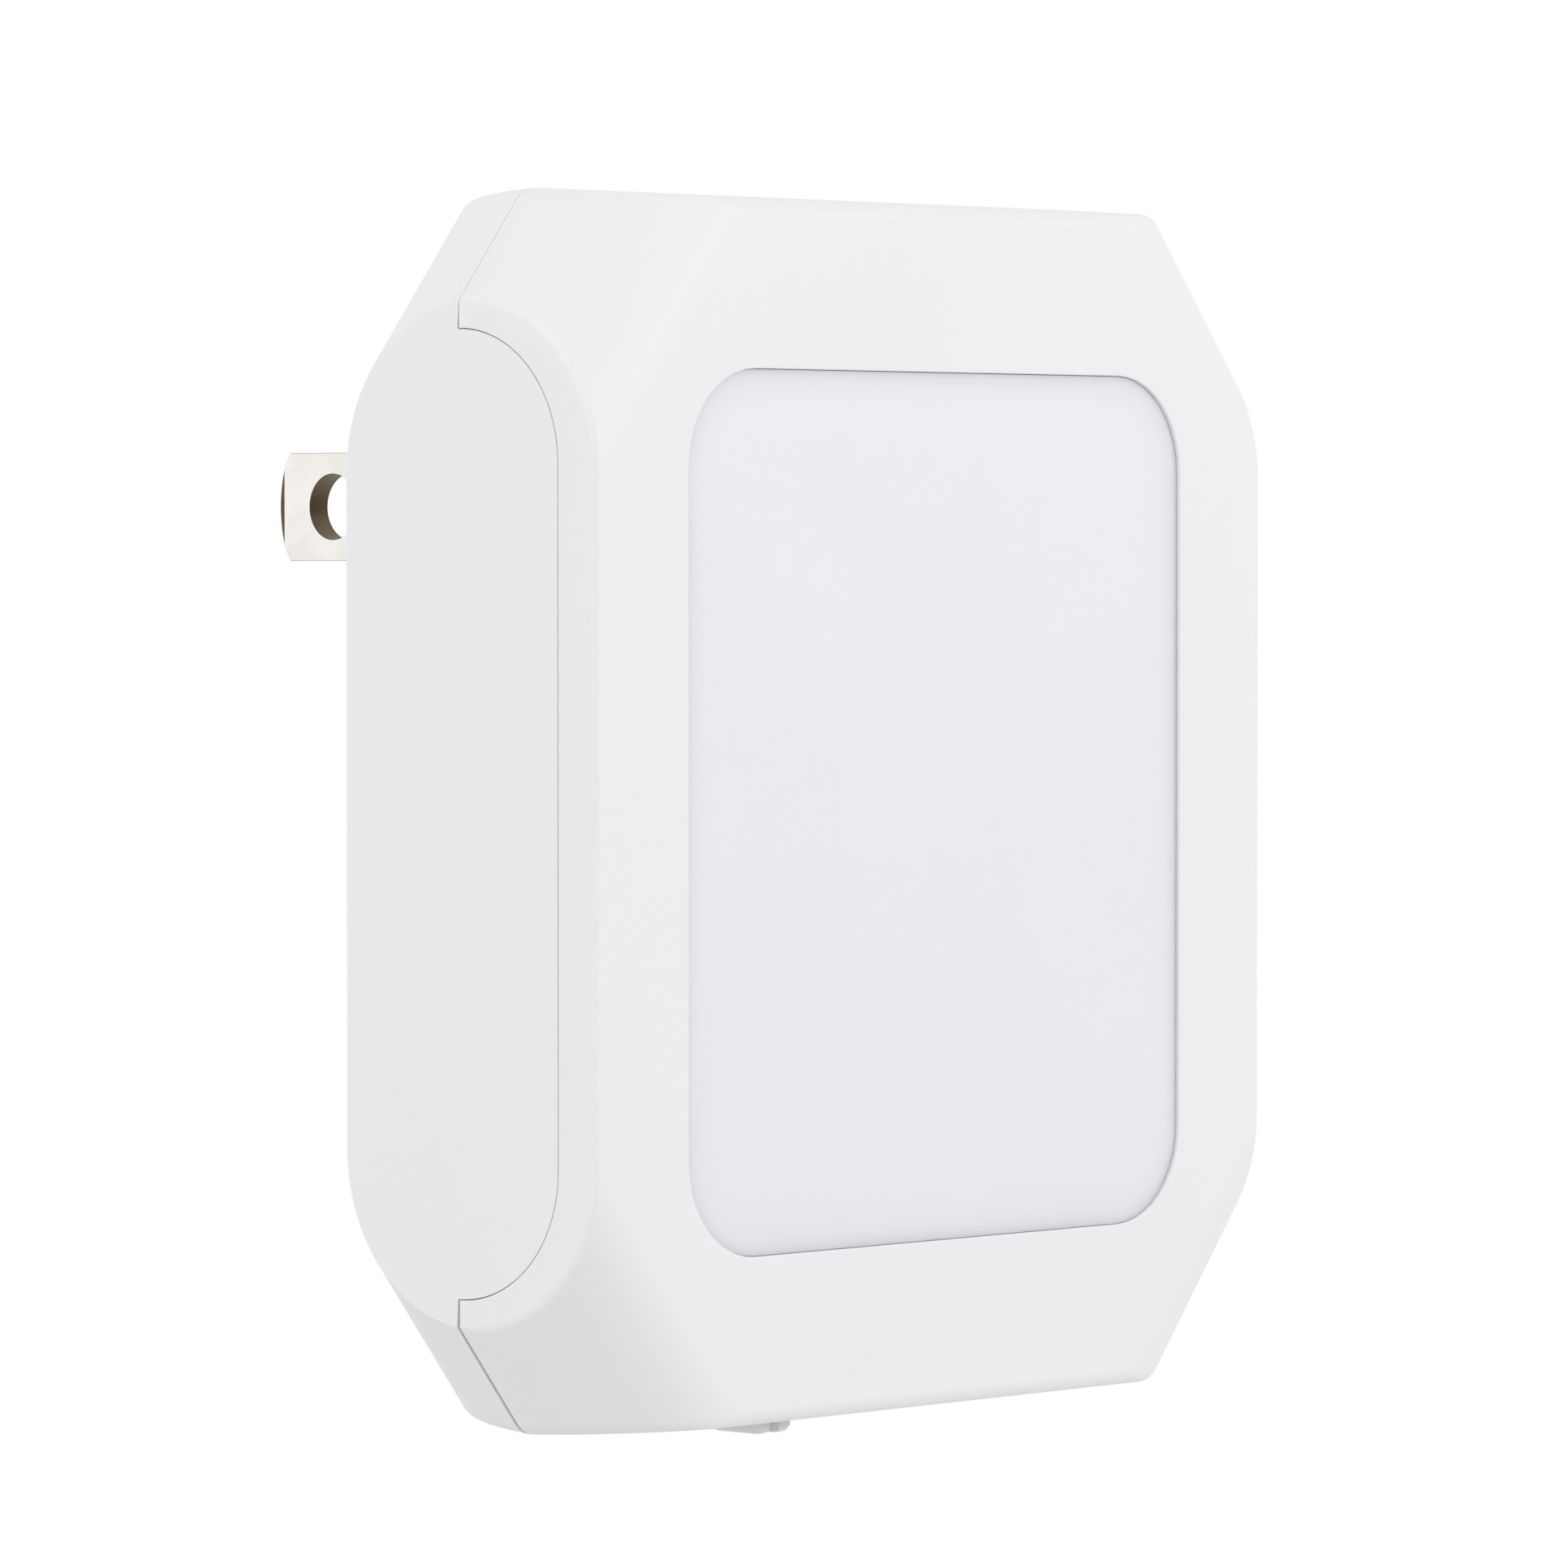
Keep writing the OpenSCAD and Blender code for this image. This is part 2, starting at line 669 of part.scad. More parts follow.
// One blade, with its flat sides facing left and right
module blade() {
    tip_middle = blade_len - blade_tip_r;
    difference() {
        intersection() {
            along_x(-blade_t / 2, blade_t / 2) union() {
                translate([-shank_len, -shank_w / 2]) square([shank_len + insert_front, shank_w]);
                translate([-shank_len, -blade_w / 2]) square([shank_len + tip_middle, blade_w]);
                intersection() {
                    translate([tip_middle, 0]) circle(blade_tip_r);
                    translate([tip_middle - eps, -blade_w / 2]) square([blade_len, blade_w]);
                }
            }
            translate([0, 0, -shank_w]) linear_extrude(2 * shank_w) polygon([
                [-blade_t / 2, -shank_len], [blade_t / 2, -shank_len],
                [blade_t / 2, blade_len - blade_bevel], [blade_t / 4, blade_len],
                [-blade_t / 4, blade_len], [-blade_t / 2, blade_len - blade_bevel]
            ]);
        }
        along_x(-blade_t, blade_t) translate([blade_len - blade_hole_in, 0])
            circle(blade_hole_d / 2);
        along_x(-blade_t, blade_t) translate([rivet_y, 0]) circle(rivet_d / 2 + hole_gap);
    }
}

module left_blade() {
    color("antiquewhite") translate([-blade_x, 0, 0]) blade();
}

module right_blade() {
    color("antiquewhite") translate([blade_x, 0, 0]) blade();
}

// The right-hand contact strip: flat on the blade's inner side, with a foot on the board
module contact_strip() {
    foot_y = front_y + board_back;
    difference() {
        union() {
            along_x(strip_x, strip_x + strip_t)
                translate([foot_y, -strip_w / 2]) square([strip_end - foot_y, strip_w]);
            translate([strip_x, foot_y, -strip_w / 2]) cube([strip_foot, strip_t, strip_w]);
        }
        along_x(strip_x - over, strip_x + strip_t + over) translate([rivet_y, 0])
            circle(rivet_d / 2 + hole_gap);
    }
}

module left_contact_strip() {
    color("goldenrod") mirror([1, 0, 0]) contact_strip();
}

module right_contact_strip() {
    color("goldenrod") contact_strip();
}

module strip_rivets() {
    stack = blade_t + strip_t;
    color("silver") for (s = [0, 1]) mirror([s, 0, 0]) translate([0, rivet_y, 0]) {
        along_x(strip_x - rivet_head_t, strip_x) circle(rivet_head_d / 2);
        along_x(strip_x - eps, strip_x + stack + eps) circle(rivet_d / 2);
        along_x(strip_x + stack, strip_x + stack + rivet_head_t) circle(rivet_head_d / 2);
    }
}

module case_screws() {
    cross = screw_head_d / 2;
    color("silver") in_case() for (s = [-1, 1]) translate([s * post_x, 0, -screw_drop])
        difference() {
            union() {
                along_y(screw_seat, screw_seat + screw_head_t) circle(screw_head_d / 2);
                along_y(screw_seat - screw_len, screw_seat + eps) circle(screw_d / 2);
            }
            for (a = [0, 90]) along_y(screw_seat + screw_head_t / 2, body_d + over)
                rotate(a) square([cross, screw_d / 4], center = true);
        }
}

front_shell();
back_shell();
diffuser();
reflector_tray();
circuit_board();
leds();
led_cups();
film_capacitor();
electrolytic_capacitor();
bridge_rectifier();
driver_chip();
fuse_resistor();
surface_resistors();
switch_can();
switch_insulator();
switch_pins();
switch_knob();
switch_bridge();
plug_insert();
left_blade();
right_blade();
left_contact_strip();
right_contact_strip();
strip_rivets();
case_screws();
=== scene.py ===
"""Looks of a plug in night light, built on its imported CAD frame."""

import json
import math

import bmesh
import bpy
from mathutils import Matrix, Vector

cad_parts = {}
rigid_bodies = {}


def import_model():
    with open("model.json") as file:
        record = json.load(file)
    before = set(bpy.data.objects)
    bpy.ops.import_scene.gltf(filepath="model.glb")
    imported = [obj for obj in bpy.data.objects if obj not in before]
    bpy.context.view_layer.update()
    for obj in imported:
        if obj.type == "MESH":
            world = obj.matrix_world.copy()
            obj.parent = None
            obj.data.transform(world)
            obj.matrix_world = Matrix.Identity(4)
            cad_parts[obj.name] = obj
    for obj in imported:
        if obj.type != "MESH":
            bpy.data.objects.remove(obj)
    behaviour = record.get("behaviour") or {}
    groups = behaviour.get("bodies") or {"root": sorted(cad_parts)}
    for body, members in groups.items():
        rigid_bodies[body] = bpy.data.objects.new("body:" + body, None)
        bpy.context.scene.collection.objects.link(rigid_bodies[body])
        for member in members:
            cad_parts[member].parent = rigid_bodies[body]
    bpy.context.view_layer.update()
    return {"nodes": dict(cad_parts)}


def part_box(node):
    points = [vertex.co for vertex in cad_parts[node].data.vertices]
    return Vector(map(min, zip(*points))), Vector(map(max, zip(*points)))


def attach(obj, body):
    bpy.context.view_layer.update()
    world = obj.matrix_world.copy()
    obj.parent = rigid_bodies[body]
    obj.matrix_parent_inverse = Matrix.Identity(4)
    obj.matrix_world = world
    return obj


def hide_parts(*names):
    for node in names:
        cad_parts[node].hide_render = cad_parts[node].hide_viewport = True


bl_info = {
    "name": "Plug In Night Light",
    "version": (1, 0, 0),
    "blender": (4, 5, 0),
    "location": "View3D > Sidebar > Night Light",
    "description": "Moulded shells, diffuser, plug and switch of a night light, on its CAD frame",
    "category": "Add Mesh",
}

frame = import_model()
NODES = frame["nodes"]

MM = 0.001
FRONT_LOW, FRONT_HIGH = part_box("front_shell")
BACK_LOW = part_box("back_shell")[0]
LENS_LOW, LENS_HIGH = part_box("diffuser")
BLADE_LOW, BLADE_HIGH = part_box("right_blade")
INSERT_LOW, INSERT_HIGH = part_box("plug_insert")
KNOB_LOW, KNOB_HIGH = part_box("switch_knob")
CAN_LOW, CAN_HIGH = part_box("switch_can")
SCREW_LOW, SCREW_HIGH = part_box("case_screws")
BOARD_LOW, BOARD_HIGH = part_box("circuit_board")

# Fixed sizes of the hidden shapes, as the CAD has them. R stands for a radius, T for a thickness.
HEAD_R, HEAD_T = 1.8 * MM, 1.3 * MM
HEAD_BORE_R, SHANK_BORE_R = 1.9 * MM, 1.05 * MM
POST_R, BOSS_R, STAY_R = 2.1 * MM, 2.8 * MM, 1.5 * MM
POST_X = SCREW_HIGH.x - HEAD_R
FLANGE_LIP = 0.8 * MM
INSERT_LIP, INSERT_R = 1.2 * MM, 2 * MM
# Rounding of the shells' other edges, as shares of the side faces' rounding: the case's openings,
# the plug block's rear edge and the window in it
OPENING_SHARE, BLOCK_SHARE, WINDOW_SHARE = 0.25, 1.5, 0.3
# The gap between pieces that just miss each other, and how far a post runs into its wall
CLEARANCE = OVERLAP = 0.1 * MM

CASE_W = FRONT_HIGH.x - FRONT_LOW.x
CASE_H = FRONT_HIGH.z - FRONT_LOW.z
CASE_Z = (FRONT_HIGH.z + FRONT_LOW.z) / 2
FRONT_Y = FRONT_LOW.y


def size(name, text, default):
    """A length that a user can change, in metres."""
    return bpy.props.FloatProperty(name=name, description=text, default=default, min=0.0,
                                   subtype="DISTANCE", unit="LENGTH", precision=5)


def colour(name, text, value):
    """A colour that a user can change, as an sRGB hex value."""
    return bpy.props.StringProperty(name=name, description=text, default=value)


class NightLightSizes(bpy.types.PropertyGroup):
    """Sizes of the pieces that are modelled over the CAD frame"""

    case_depth: size("Case depth", "Depth of the case from its front to its back face", 19 * MM)
    side_height: size("Side height", "Height of the flat side faces", 56.4 * MM)
    corner_width: size("Corner width", "Width that each sloping corner takes off", 5.1 * MM)
    end_taper: bpy.props.FloatProperty(name="End taper", default=0.066, min=0.0, max=0.2,
                                       description="Taper of the top and bottom away from the seam")
    end_soft: size("End softness", "Rounding of the top's and bottom's long edges", 0.9 * MM)
    wall: size("Wall", "Wall thickness of both shells", 1.8 * MM)
    seam_depth: size("Seam depth", "Depth of the seam behind the front face", 10.3 * MM)
    seam_gap: size("Seam gap", "Gap between the shells at the case's middle height", 0.13 * MM)
    seam_lean: size("Seam lean", "How much wider the gap is at the bottom, and tighter at the top",
                    0.09 * MM)
    tongue_gap: size("Tongue gap", "Gap round the side tongues", 0.06 * MM)
    tongue_front: size("Tongue rim", "Rim in front of each side tongue", 2.9 * MM)
    tongue_rim: size("Tongue end rim", "Rim above and below each side tongue", 1.6 * MM)
    corner_soft: size("Corner softness", "Run of the rounding where corner faces meet the ends", 0.9 * MM)
    edge_soft: size("Edge softness", "Rounding of the side faces' edges", 0.32 * MM)
    lens_corner: size("Lens corner", "Corner radius of the diffuser's opening", 5.5 * MM)
    lens_gap: size("Lens gap", "Gap round the diffuser", 0.035 * MM)
    lens_crown: size("Lens crown", "Width of the diffuser's pillowed rim", 4.0 * MM)
    lens_fall: size("Lens fall", "How far the pillowed rim falls back", 0.13 * MM)
    lens_sink: size("Lens sink", "Depth of the diffuser's face behind the front face", 0.1 * MM)
    block_width: size("Plug block width", "Width of the plug block", 27 * MM)
    block_height: size("Plug block height", "Height of the plug block", 24 * MM)
    block_drop: size("Plug block drop", "How far the block's middle lies below the blades", 2 * MM)
    block_corner: size("Plug block corner", "Corner radius of the plug block", 5 * MM)
    insert_soft: size("Insert softness", "Rounding of the insert's edges", 0.12 * MM)
    blade_height: size("Blade height", "Height of each blade", 6.35 * MM)
    blade_tip: size("Blade tip radius", "Radius of each blade's curved tip", 5.8 * MM)
    tip_long: size("Tip chamfer length", "Length of the chamfer across each blade's tip", 0.45 * MM)
    tip_deep: size("Tip chamfer depth", "Depth of that chamfer into the blade's face", 0.12 * MM)
    blade_hole: size("Blade hole", "Diameter of the hole in each blade", 3.9 * MM)
    blade_hole_in: size("Blade hole inset", "Distance of the hole from the blade's tip", 4.5 * MM)
    blade_soft: size("Blade softness", "Rounding of each blade's edges", 0.14 * MM)
    knob_travel: size("Knob travel", "Travel of the switch's knob", 1.5 * MM)
    knob_width: size("Stem width", "Width of the knob's stem", 2.4 * MM)
    knob_depth: size("Stem depth", "Depth of the knob's stem", 1.7 * MM)
    knob_gap: size("Knob gap", "Clearance round the stem", 0.15 * MM)
    grip_width: size("Grip width", "Width of the grip along its slot", 2.8 * MM)
    grip_depth: size("Grip depth", "Depth of the grip towards the wall", 3.8 * MM)
    grip_gap: size("Grip gap", "Gap between the grip and the case above it", 0.35 * MM)
    groove_width: size("Groove width", "Width of the groove between the grip's ridges", 0.8 * MM)
    groove_height: size("Groove height", "How far the groove reaches up into the grip", 0.95 * MM)
    knob_soft: size("Knob softness", "Rounding of the knob's edges", 0.05 * MM)
    screw_drop: size("Screw drop", "Distance of the screws below the case's middle", 15 * MM)


class NightLightColours(bpy.types.PropertyGroup):
    """Colours of the finishes"""

    shell: colour("Shell", "Moulded ABS of the case", "#EFEFF2")
    lens: colour("Diffuser", "Frosted acrylic of the diffuser", "#EDEEF4")
    knob: colour("Knob", "Moulded acetal of the switch's knob", "#E2E2E4")
    nickel: colour("Nickel", "Nickel plate on the blades", "#F6F3EE")
    cut_edge: colour("Cut edge", "Punched edge of the blades", "#6A5B49")


def linear(hex_value):
    """sRGB hex to linear RGBA."""
    parts = [int(hex_value[i:i + 2], 16) / 255 for i in (1, 3, 5)]
    return [c / 12.92 if c <= 0.04045 else ((c + 0.055) / 1.055) ** 2.4 for c in parts] + [1.0]


# ---------------------------------------------------------------- materials

def node(tree, kind, settings=(), links=()):
    """Adds a node, sets its values and links its inputs."""
    made = tree.nodes.new(kind)
    for key, value in dict(settings).items():
        if isinstance(key, str) and hasattr(made, key):
            setattr(made, key, value)
        else:
            made.inputs[key].default_value = value
    for key, source in dict(links).items():
        tree.links.new(source, made.inputs[key])
    return made


def blank_material(name):
    made = bpy.data.materials.new(name)
    made.use_nodes = True
    made.node_tree.nodes.clear()
    return made, made.node_tree


def finish_material(tree, shader):
    node(tree, "ShaderNodeOutputMaterial", (), {"Surface": shader.outputs[0]})


def shifted(hex_value, factor):
    """The colour made darker or lighter by a factor."""
    return [c * factor for c in linear(hex_value)[:3]] + [1.0]


def surface(tree, broad, fine, tints, rough, depth, settings):
    """A shader whose colour follows a broad field, and its roughness and relief a fine one."""
    tint = node(tree, "ShaderNodeValToRGB", (), {0: broad.outputs[0]})
    for stop, (position, value) in zip(tint.color_ramp.elements, tints):
        stop.position, stop.color = position, value
    gloss = node(tree, "ShaderNodeMapRange", {3: rough[0], 4: rough[1]}, {0: fine.outputs[0]})
    relief = node(tree, "ShaderNodeBump", {"Strength": 1.0, "Distance": depth},
                  {"Height": fine.outputs[0]})
    finish_material(tree, node(tree, "ShaderNodeBsdfPrincipled", settings,
                               {"Base Color": tint.outputs[0], "Roughness": gloss.outputs[0],
                                "Normal": relief.outputs[0]}))


def grained(name, hex_value, grain, depth, rough, settings, mottle=0.02, rough_span=0.05):
    """A surface whose colour, gloss and height vary with a fine grain of a real size."""
    made, tree = blank_material(name)
    place = node(tree, "ShaderNodeTexCoord")
    fine = node(tree, "ShaderNodeTexNoise", {"Scale": 1 / grain, "Detail": 3.0, "Roughness": 0.6},
                {"Vector": place.outputs["Object"]})
    broad = node(tree, "ShaderNodeTexNoise", {"Scale": 1 / (60 * grain), "Detail": 2.0},
                 {"Vector": place.outputs["Object"]})
    surface(tree, broad, fine, ((0.3, shifted(hex_value, 1 - mottle)), (0.7, linear(hex_value))),
            (rough - rough_span, rough + rough_span), depth, settings)
    return made


def shell_material():
    """ABS, injection moulded in a finely spark-eroded mould: satin, with a grain felt more than seen."""
    hex_value = bpy.context.scene.night_light_colours.shell
    return grained("abs_spark_moulded", hex_value, 0.35 * MM, 0.004 * MM, 0.46,
                   {"IOR": 1.54, "Subsurface Weight": 0.06, "Subsurface Radius": (1.0, 0.9, 0.85),
                    "Subsurface Scale": 0.6 * MM}, 0.012)


def knob_material():
    """Acetal, moulded in a polished mould: slightly waxier and greyer than the case."""
    hex_value = bpy.context.scene.night_light_colours.knob
    return grained("acetal_moulded", hex_value, 0.3 * MM, 0.002 * MM, 0.38,
                   {"IOR": 1.48, "Subsurface Weight": 0.05, "Subsurface Radius": (1.0, 0.9, 0.8),
                    "Subsurface Scale": 0.4 * MM})


def lens_material():
    """Acrylic with white pigment and a frosted face: light goes in and comes back soft and bluish."""
    hex_value = bpy.context.scene.night_light_colours.lens
    return grained("acrylic_opal_frosted", hex_value, 0.18 * MM, 0.0015 * MM, 0.4,
                   {"IOR": 1.49, "Subsurface Weight": 0.5, "Subsurface Radius": (0.85, 0.93, 1.0),
                    "Subsurface Scale": 3 * MM}, 0.01, 0.04)


def metal(name, hex_value, rough, line, stretch, depth, stain=0.06):
    """A metal with rolling or polishing lines along +Y, and faint stains."""
    made, tree = blank_material(name)
    place = node(tree, "ShaderNodeTexCoord")
    lay = node(tree, "ShaderNodeMapping", {"Scale": (1, 1 / stretch, 1)},
               {"Vector": place.outputs["Object"]})
    lines = node(tree, "ShaderNodeTexNoise", {"Scale": 1 / line, "Detail": 4.0, "Roughness": 0.65},
                 {"Vector": lay.outputs[0]})
    marks = node(tree, "ShaderNodeTexNoise", {"Scale": 1 / (18 * line), "Detail": 3.0},
                 {"Vector": place.outputs["Object"]})
    surface(tree, marks, lines, ((0.35, shifted(hex_value, 1 - stain)), (0.6, linear(hex_value))),
            (rough * 0.8, rough * 1.25), depth, {"Metallic": 1.0})
    return made


def nickel_material():
    """Nickel plate over rolled brass: warm and bright, with the strip's rolling lines along it."""
    return metal("nickel_plated_rolled", bpy.context.scene.night_light_colours.nickel,
                 0.24, 0.12 * MM, 14, 0.0012 * MM)


def cut_edge_material():
    """Punched brass edge under thin plate: darker and duller, with the tear marks of the die."""
    return metal("brass_punched_edge", bpy.context.scene.night_light_colours.cut_edge,
                 0.42, 0.2 * MM, 3, 0.006 * MM, 0.4)


# Finishes of the pieces inside. Grain, relief depth and line width are in mm.
# Nodes, name, hex, grain, relief depth, roughness and the shader's own settings:
MOULDED = (
    # Polystyrene, moulded bright white so that it throws light forward
    (["reflector_tray"], "polystyrene_moulded", "#F4F4F2", 0.4, 0.002, 0.3, {"IOR": 1.59}),
    # Glass laminate under white solder mask, with its weave just showing
    (["circuit_board"], "glass_laminate_masked", "#DDE4DD", 0.5, 0.01, 0.35, {"IOR": 1.5}),
    # Polyphthalamide diode bodies
    (["leds"], "polyamide_diode_body", "#F0ECE0", 0.15, 0.002, 0.4, {"IOR": 1.55}),
    # Silicone filled with yellow phosphor
    (["led_cups"], "silicone_phosphor", "#F2CB45", 0.1, 0.002, 0.2, {"IOR": 1.42}),
    # Epoxy dip over a wound film capacitor: thick, glossy and a little uneven
    (["film_capacitor"], "epoxy_dipped", "#D9A22E", 1.2, 0.03, 0.18,
     {"IOR": 1.55, "Coat Weight": 0.3}),
    # Shrunk polyester sleeve over an aluminium can
    (["electrolytic_capacitor"], "polyester_sleeve", "#2A2E38", 0.8, 0.006, 0.25, {"IOR": 1.57}),
    # Transfer-moulded epoxy with silica filler
    (["bridge_rectifier", "driver_chip"], "epoxy_transfer_moulded", "#1B1B1D", 0.12, 0.004, 0.6,
     {"IOR": 1.55}),
    # Flameproof cement coat, brushed on
    (["fuse_resistor"], "cement_flameproof", "#5B7F6A", 0.5, 0.02, 0.7, {"IOR": 1.5}),
    # Glass glaze over a fired resistor film
    (["surface_resistors"], "glass_glazed", "#161617", 0.3, 0.002, 0.15, {"IOR": 1.52}),
    # Paper-based phenolic sheet, punched
    (["switch_insulator"], "phenolic_paper_sheet", "#6E4424", 0.3, 0.008, 0.5, {"IOR": 1.6}),
)
# Nodes, name, hex, roughness, line width, and how many times longer than wide the lines are:
ROLLED = (
    # Tinned steel: grey-white with a soft wiped shine
    (["switch_can"], "tinned_steel_sheet", "#C4C4C2", 0.3, 0.25, 6),
    (["switch_pins"], "tinned_brass_wire", "#CDCBC4", 0.28, 0.15, 6),
    (["strip_rivets"], "tinned_steel_rivet", "#C2C2C0", 0.32, 0.2, 2),
    # Half-hard brass, rolled and left bare
    (["switch_bridge", "left_contact_strip", "right_contact_strip"], "brass_rolled", "#D9B36A",
     0.25, 0.15, 8),
)


def give(obj, *materials):
    """Replaces an object's materials. An empty list isn't cleared, as that would reset its faces."""
    if obj.data.materials:
        obj.data.materials.clear()
    for made in materials:
        obj.data.materials.append(made)


# ---------------------------------------------------------------- mesh helpers

def mesh_object(name, bm):
    """A linked object from a bmesh, which is freed."""
    mesh = bpy.data.meshes.new(name)
    bm.to_mesh(mesh)
    bm.free()
    obj = bpy.data.objects.new(name, mesh)
    bpy.context.scene.collection.objects.link(obj)
    return obj


def new_piece(name, bm, materials, body, node_names, smooth=35.0):
    """Turns a bmesh into a piece that rides on a body and stands for CAD nodes."""
    bmesh.ops.remove_doubles(bm, verts=bm.verts, dist=0.002 * MM)
    bmesh.ops.recalc_face_normals(bm, faces=bm.faces)
    obj = mesh_object(name, bm)
    give(obj, *materials)
    obj.data.shade_smooth()
    obj.data.set_sharp_from_angle(angle=math.radians(smooth))
    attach(obj, body)
    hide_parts(*node_names)
    return obj


def soften(obj, width, weighted=False, material=-1, sharp=50):
    """Rounds weighted or sharp edges a little, and keeps flat faces flat to the eye."""
    bevel = obj.modifiers.new("Soft edges", "BEVEL")
    bevel.width = width
    bevel.segments = 3 if weighted else 2
    bevel.limit_method = "WEIGHT" if weighted else "ANGLE"
    bevel.angle_limit = math.radians(50)
    bevel.use_clamp_overlap = True
    bevel.material = material
    bake(obj, sharp)
    normals = obj.modifiers.new("Flat faces stay flat", "WEIGHTED_NORMAL")
    normals.keep_sharp = True
    normals.weight = 100


def bake(obj, angle):
    """Makes the modifiers' result the piece's own mesh, then marks its sharp edges anew."""
    graph = bpy.context.evaluated_depsgraph_get()
    done = bpy.data.meshes.new_from_object(obj.evaluated_get(graph))
    obj.modifiers.clear()
    obj.data = done
    done.shade_smooth()
    done.set_sharp_from_angle(angle=math.radians(angle))


def loop_of(bm, points):
    return [bm.verts.new(p) for p in points]


def bridge(bm, one, two, closed=True, material=0):
    """Quads between two rows of vertices of the same length."""
    last = len(one) if closed else len(one) - 1
    for i in range(last):
        j = (i + 1) % len(one)
        corners = [one[i], one[j], two[j], two[i]]
        corners = [v for k, v in enumerate(corners) if v not in corners[:k]]
        if len(corners) > 2:
            bm.faces.new(corners).material_index = material


def fill_flat(bm, loops):
    """A flat face inside the first loop, with the other loops as holes."""
    edges = []
    for loop in loops:
        for i, v in enumerate(loop):
            w = loop[(i + 1) % len(loop)]
            edges.append(bm.edges.get((v, w)) or bm.edges.new((v, w)))
    bmesh.ops.triangle_fill(bm, use_beauty=True, use_dissolve=False, edges=edges)


def rounded(w, h, r, steps=10):
    """Points of a rounded rectangle, counter-clockwise from its lower right corner."""
    points = []
    for cx, cy, turn in ((1, -1, -90), (1, 1, 0), (-1, 1, 90), (-1, -1, 180)):
        for i in range(steps + 1):
            a = math.radians(turn + 90 * i / steps)
            points.append((cx * (w / 2 - r) + r * math.cos(a), cy * (h / 2 - r) + r * math.sin(a)))
    return points


def circle(cx, cz, r, steps=32):
    return [(cx + r * math.cos(math.tau * i / steps), cz + r * math.sin(math.tau * i / steps))
            for i in range(steps)]


def at_depth(points, y, cx=0.0, cz=0.0):
    """A flat outline in x and z, placed at a depth."""
    return [Vector((cx + x, y, cz + z)) for x, z in points]


def prism(bm, outline, holes, y0, y1):
    """A plate between two depths, with holes right through."""
    front = [loop_of(bm, at_depth(loop, y0)) for loop in [outline, *holes]]
    back = [loop_of(bm, at_depth(loop, y1)) for loop in [outline, *holes]]
    for one, two in zip(front, back):
        bridge(bm, one, two)
    fill_flat(bm, front)
    fill_flat(bm, back)


def turned(bm, profile, cx, cz, steps):
    """A turned body about a line along y. The profile is (radius, y) pairs from end to end."""
    rows = [loop_of(bm, at_depth(circle(cx, cz, r, steps), y)) for r, y in profile]
    for one, two in zip(rows, rows[1:]):
        bridge(bm, one, two)
    bm.faces.new(rows[0])
    bm.faces.new(rows[-1])


# ---------------------------------------------------------------- case form

class CaseForm:
    """The case's outer form, drawn in by an inset: rows go from the front to the back round its edge."""

    def __init__(self, sizes, inset):
        # The inner face's corners are rounded more tightly
        tighter, least = 0.4, 0.2 * MM
        self.soft = max(sizes.corner_soft - inset * tighter, least)
        w, side = CASE_W / 2, sizes.side_height / 2
        self.h = CASE_H / 2 - inset
        self.slope = (CASE_H / 2 - side) / sizes.corner_width
        reach = w * self.slope + side - inset * math.hypot(self.slope, 1)
        self.bar = sizes.case_depth / 2
        self.r = self.bar - inset
        self.w = w - inset
        self.side_z = reach - self.w * self.slope
        self.taper, self.seam = sizes.end_taper, sizes.seam_depth
        self.end_soft = max(sizes.end_soft - inset, 0.0)

    def drop(self, depth):
        """How far the corner faces lie inside their widest place, at a depth."""
        return self.r - math.sqrt(max(self.r ** 2 - (depth - self.bar) ** 2, 0.0))

    def top_z(self, depth):
        """Height of the tapering top over the case's middle, rounded at its front and back edges."""
        in_from_end = self.r - abs(depth - self.bar)
        short = max(self.end_soft - in_from_end, 0.0)
        rounding = self.end_soft - math.sqrt(max(self.end_soft ** 2 - short ** 2, 0.0))
        return self.h - self.taper * abs(depth - self.seam) - rounding

    def quarter(self, depth, splits):
        """From the side face's upper corner to the middle of the top, at a depth: (x, z) points."""
        low = Vector((self.w, self.side_z - self.drop(depth)))
        top_z = self.top_z(depth)
        top = Vector((self.w - (top_z - low.y) / self.slope, top_z))
        run = (low - top).normalized()
        start, end = top + run * self.soft, top - Vector((self.soft, 0))
        points, steps = [low, low.lerp(start, 0.5)], 8
        for i in range(steps + 1):
            t = i / steps
            points.append(start * (1 - t) ** 2 + top * 2 * t * (1 - t) + end * t ** 2)
        for x in sorted(splits, reverse=True):
            points.append(Vector((x, top_z)))
        return points

    def upper(self, depth, splits):
        """The whole upper outline from the right side face over the top to the left one."""
        right = self.quarter(depth, splits)
        return right + [Vector((-p.x, p.y)) for p in reversed(right)]

    def point(self, p, depth, up):
        """An outline's point in space, above or below the case's middle."""
        return Vector((p.x, FRONT_Y + depth, CASE_Z + up * p.y))


def tongue_arc(sizes, margin, end, steps):
    """A side tongue's upper edge: (depth, z) from its front middle height to a depth at the seam."""
    r = sizes.seam_depth - sizes.tongue_front + margin
    middle = sizes.side_height / 2 - sizes.tongue_rim - (sizes.seam_depth - sizes.tongue_front)
    last = math.asin(min(1.0, (end - sizes.seam_depth) / r))
    return [(sizes.seam_depth - r * math.cos((math.pi / 2 + last) * i / steps),
             middle + r * math.sin((math.pi / 2 + last) * i / steps)) for i in range(steps + 1)]


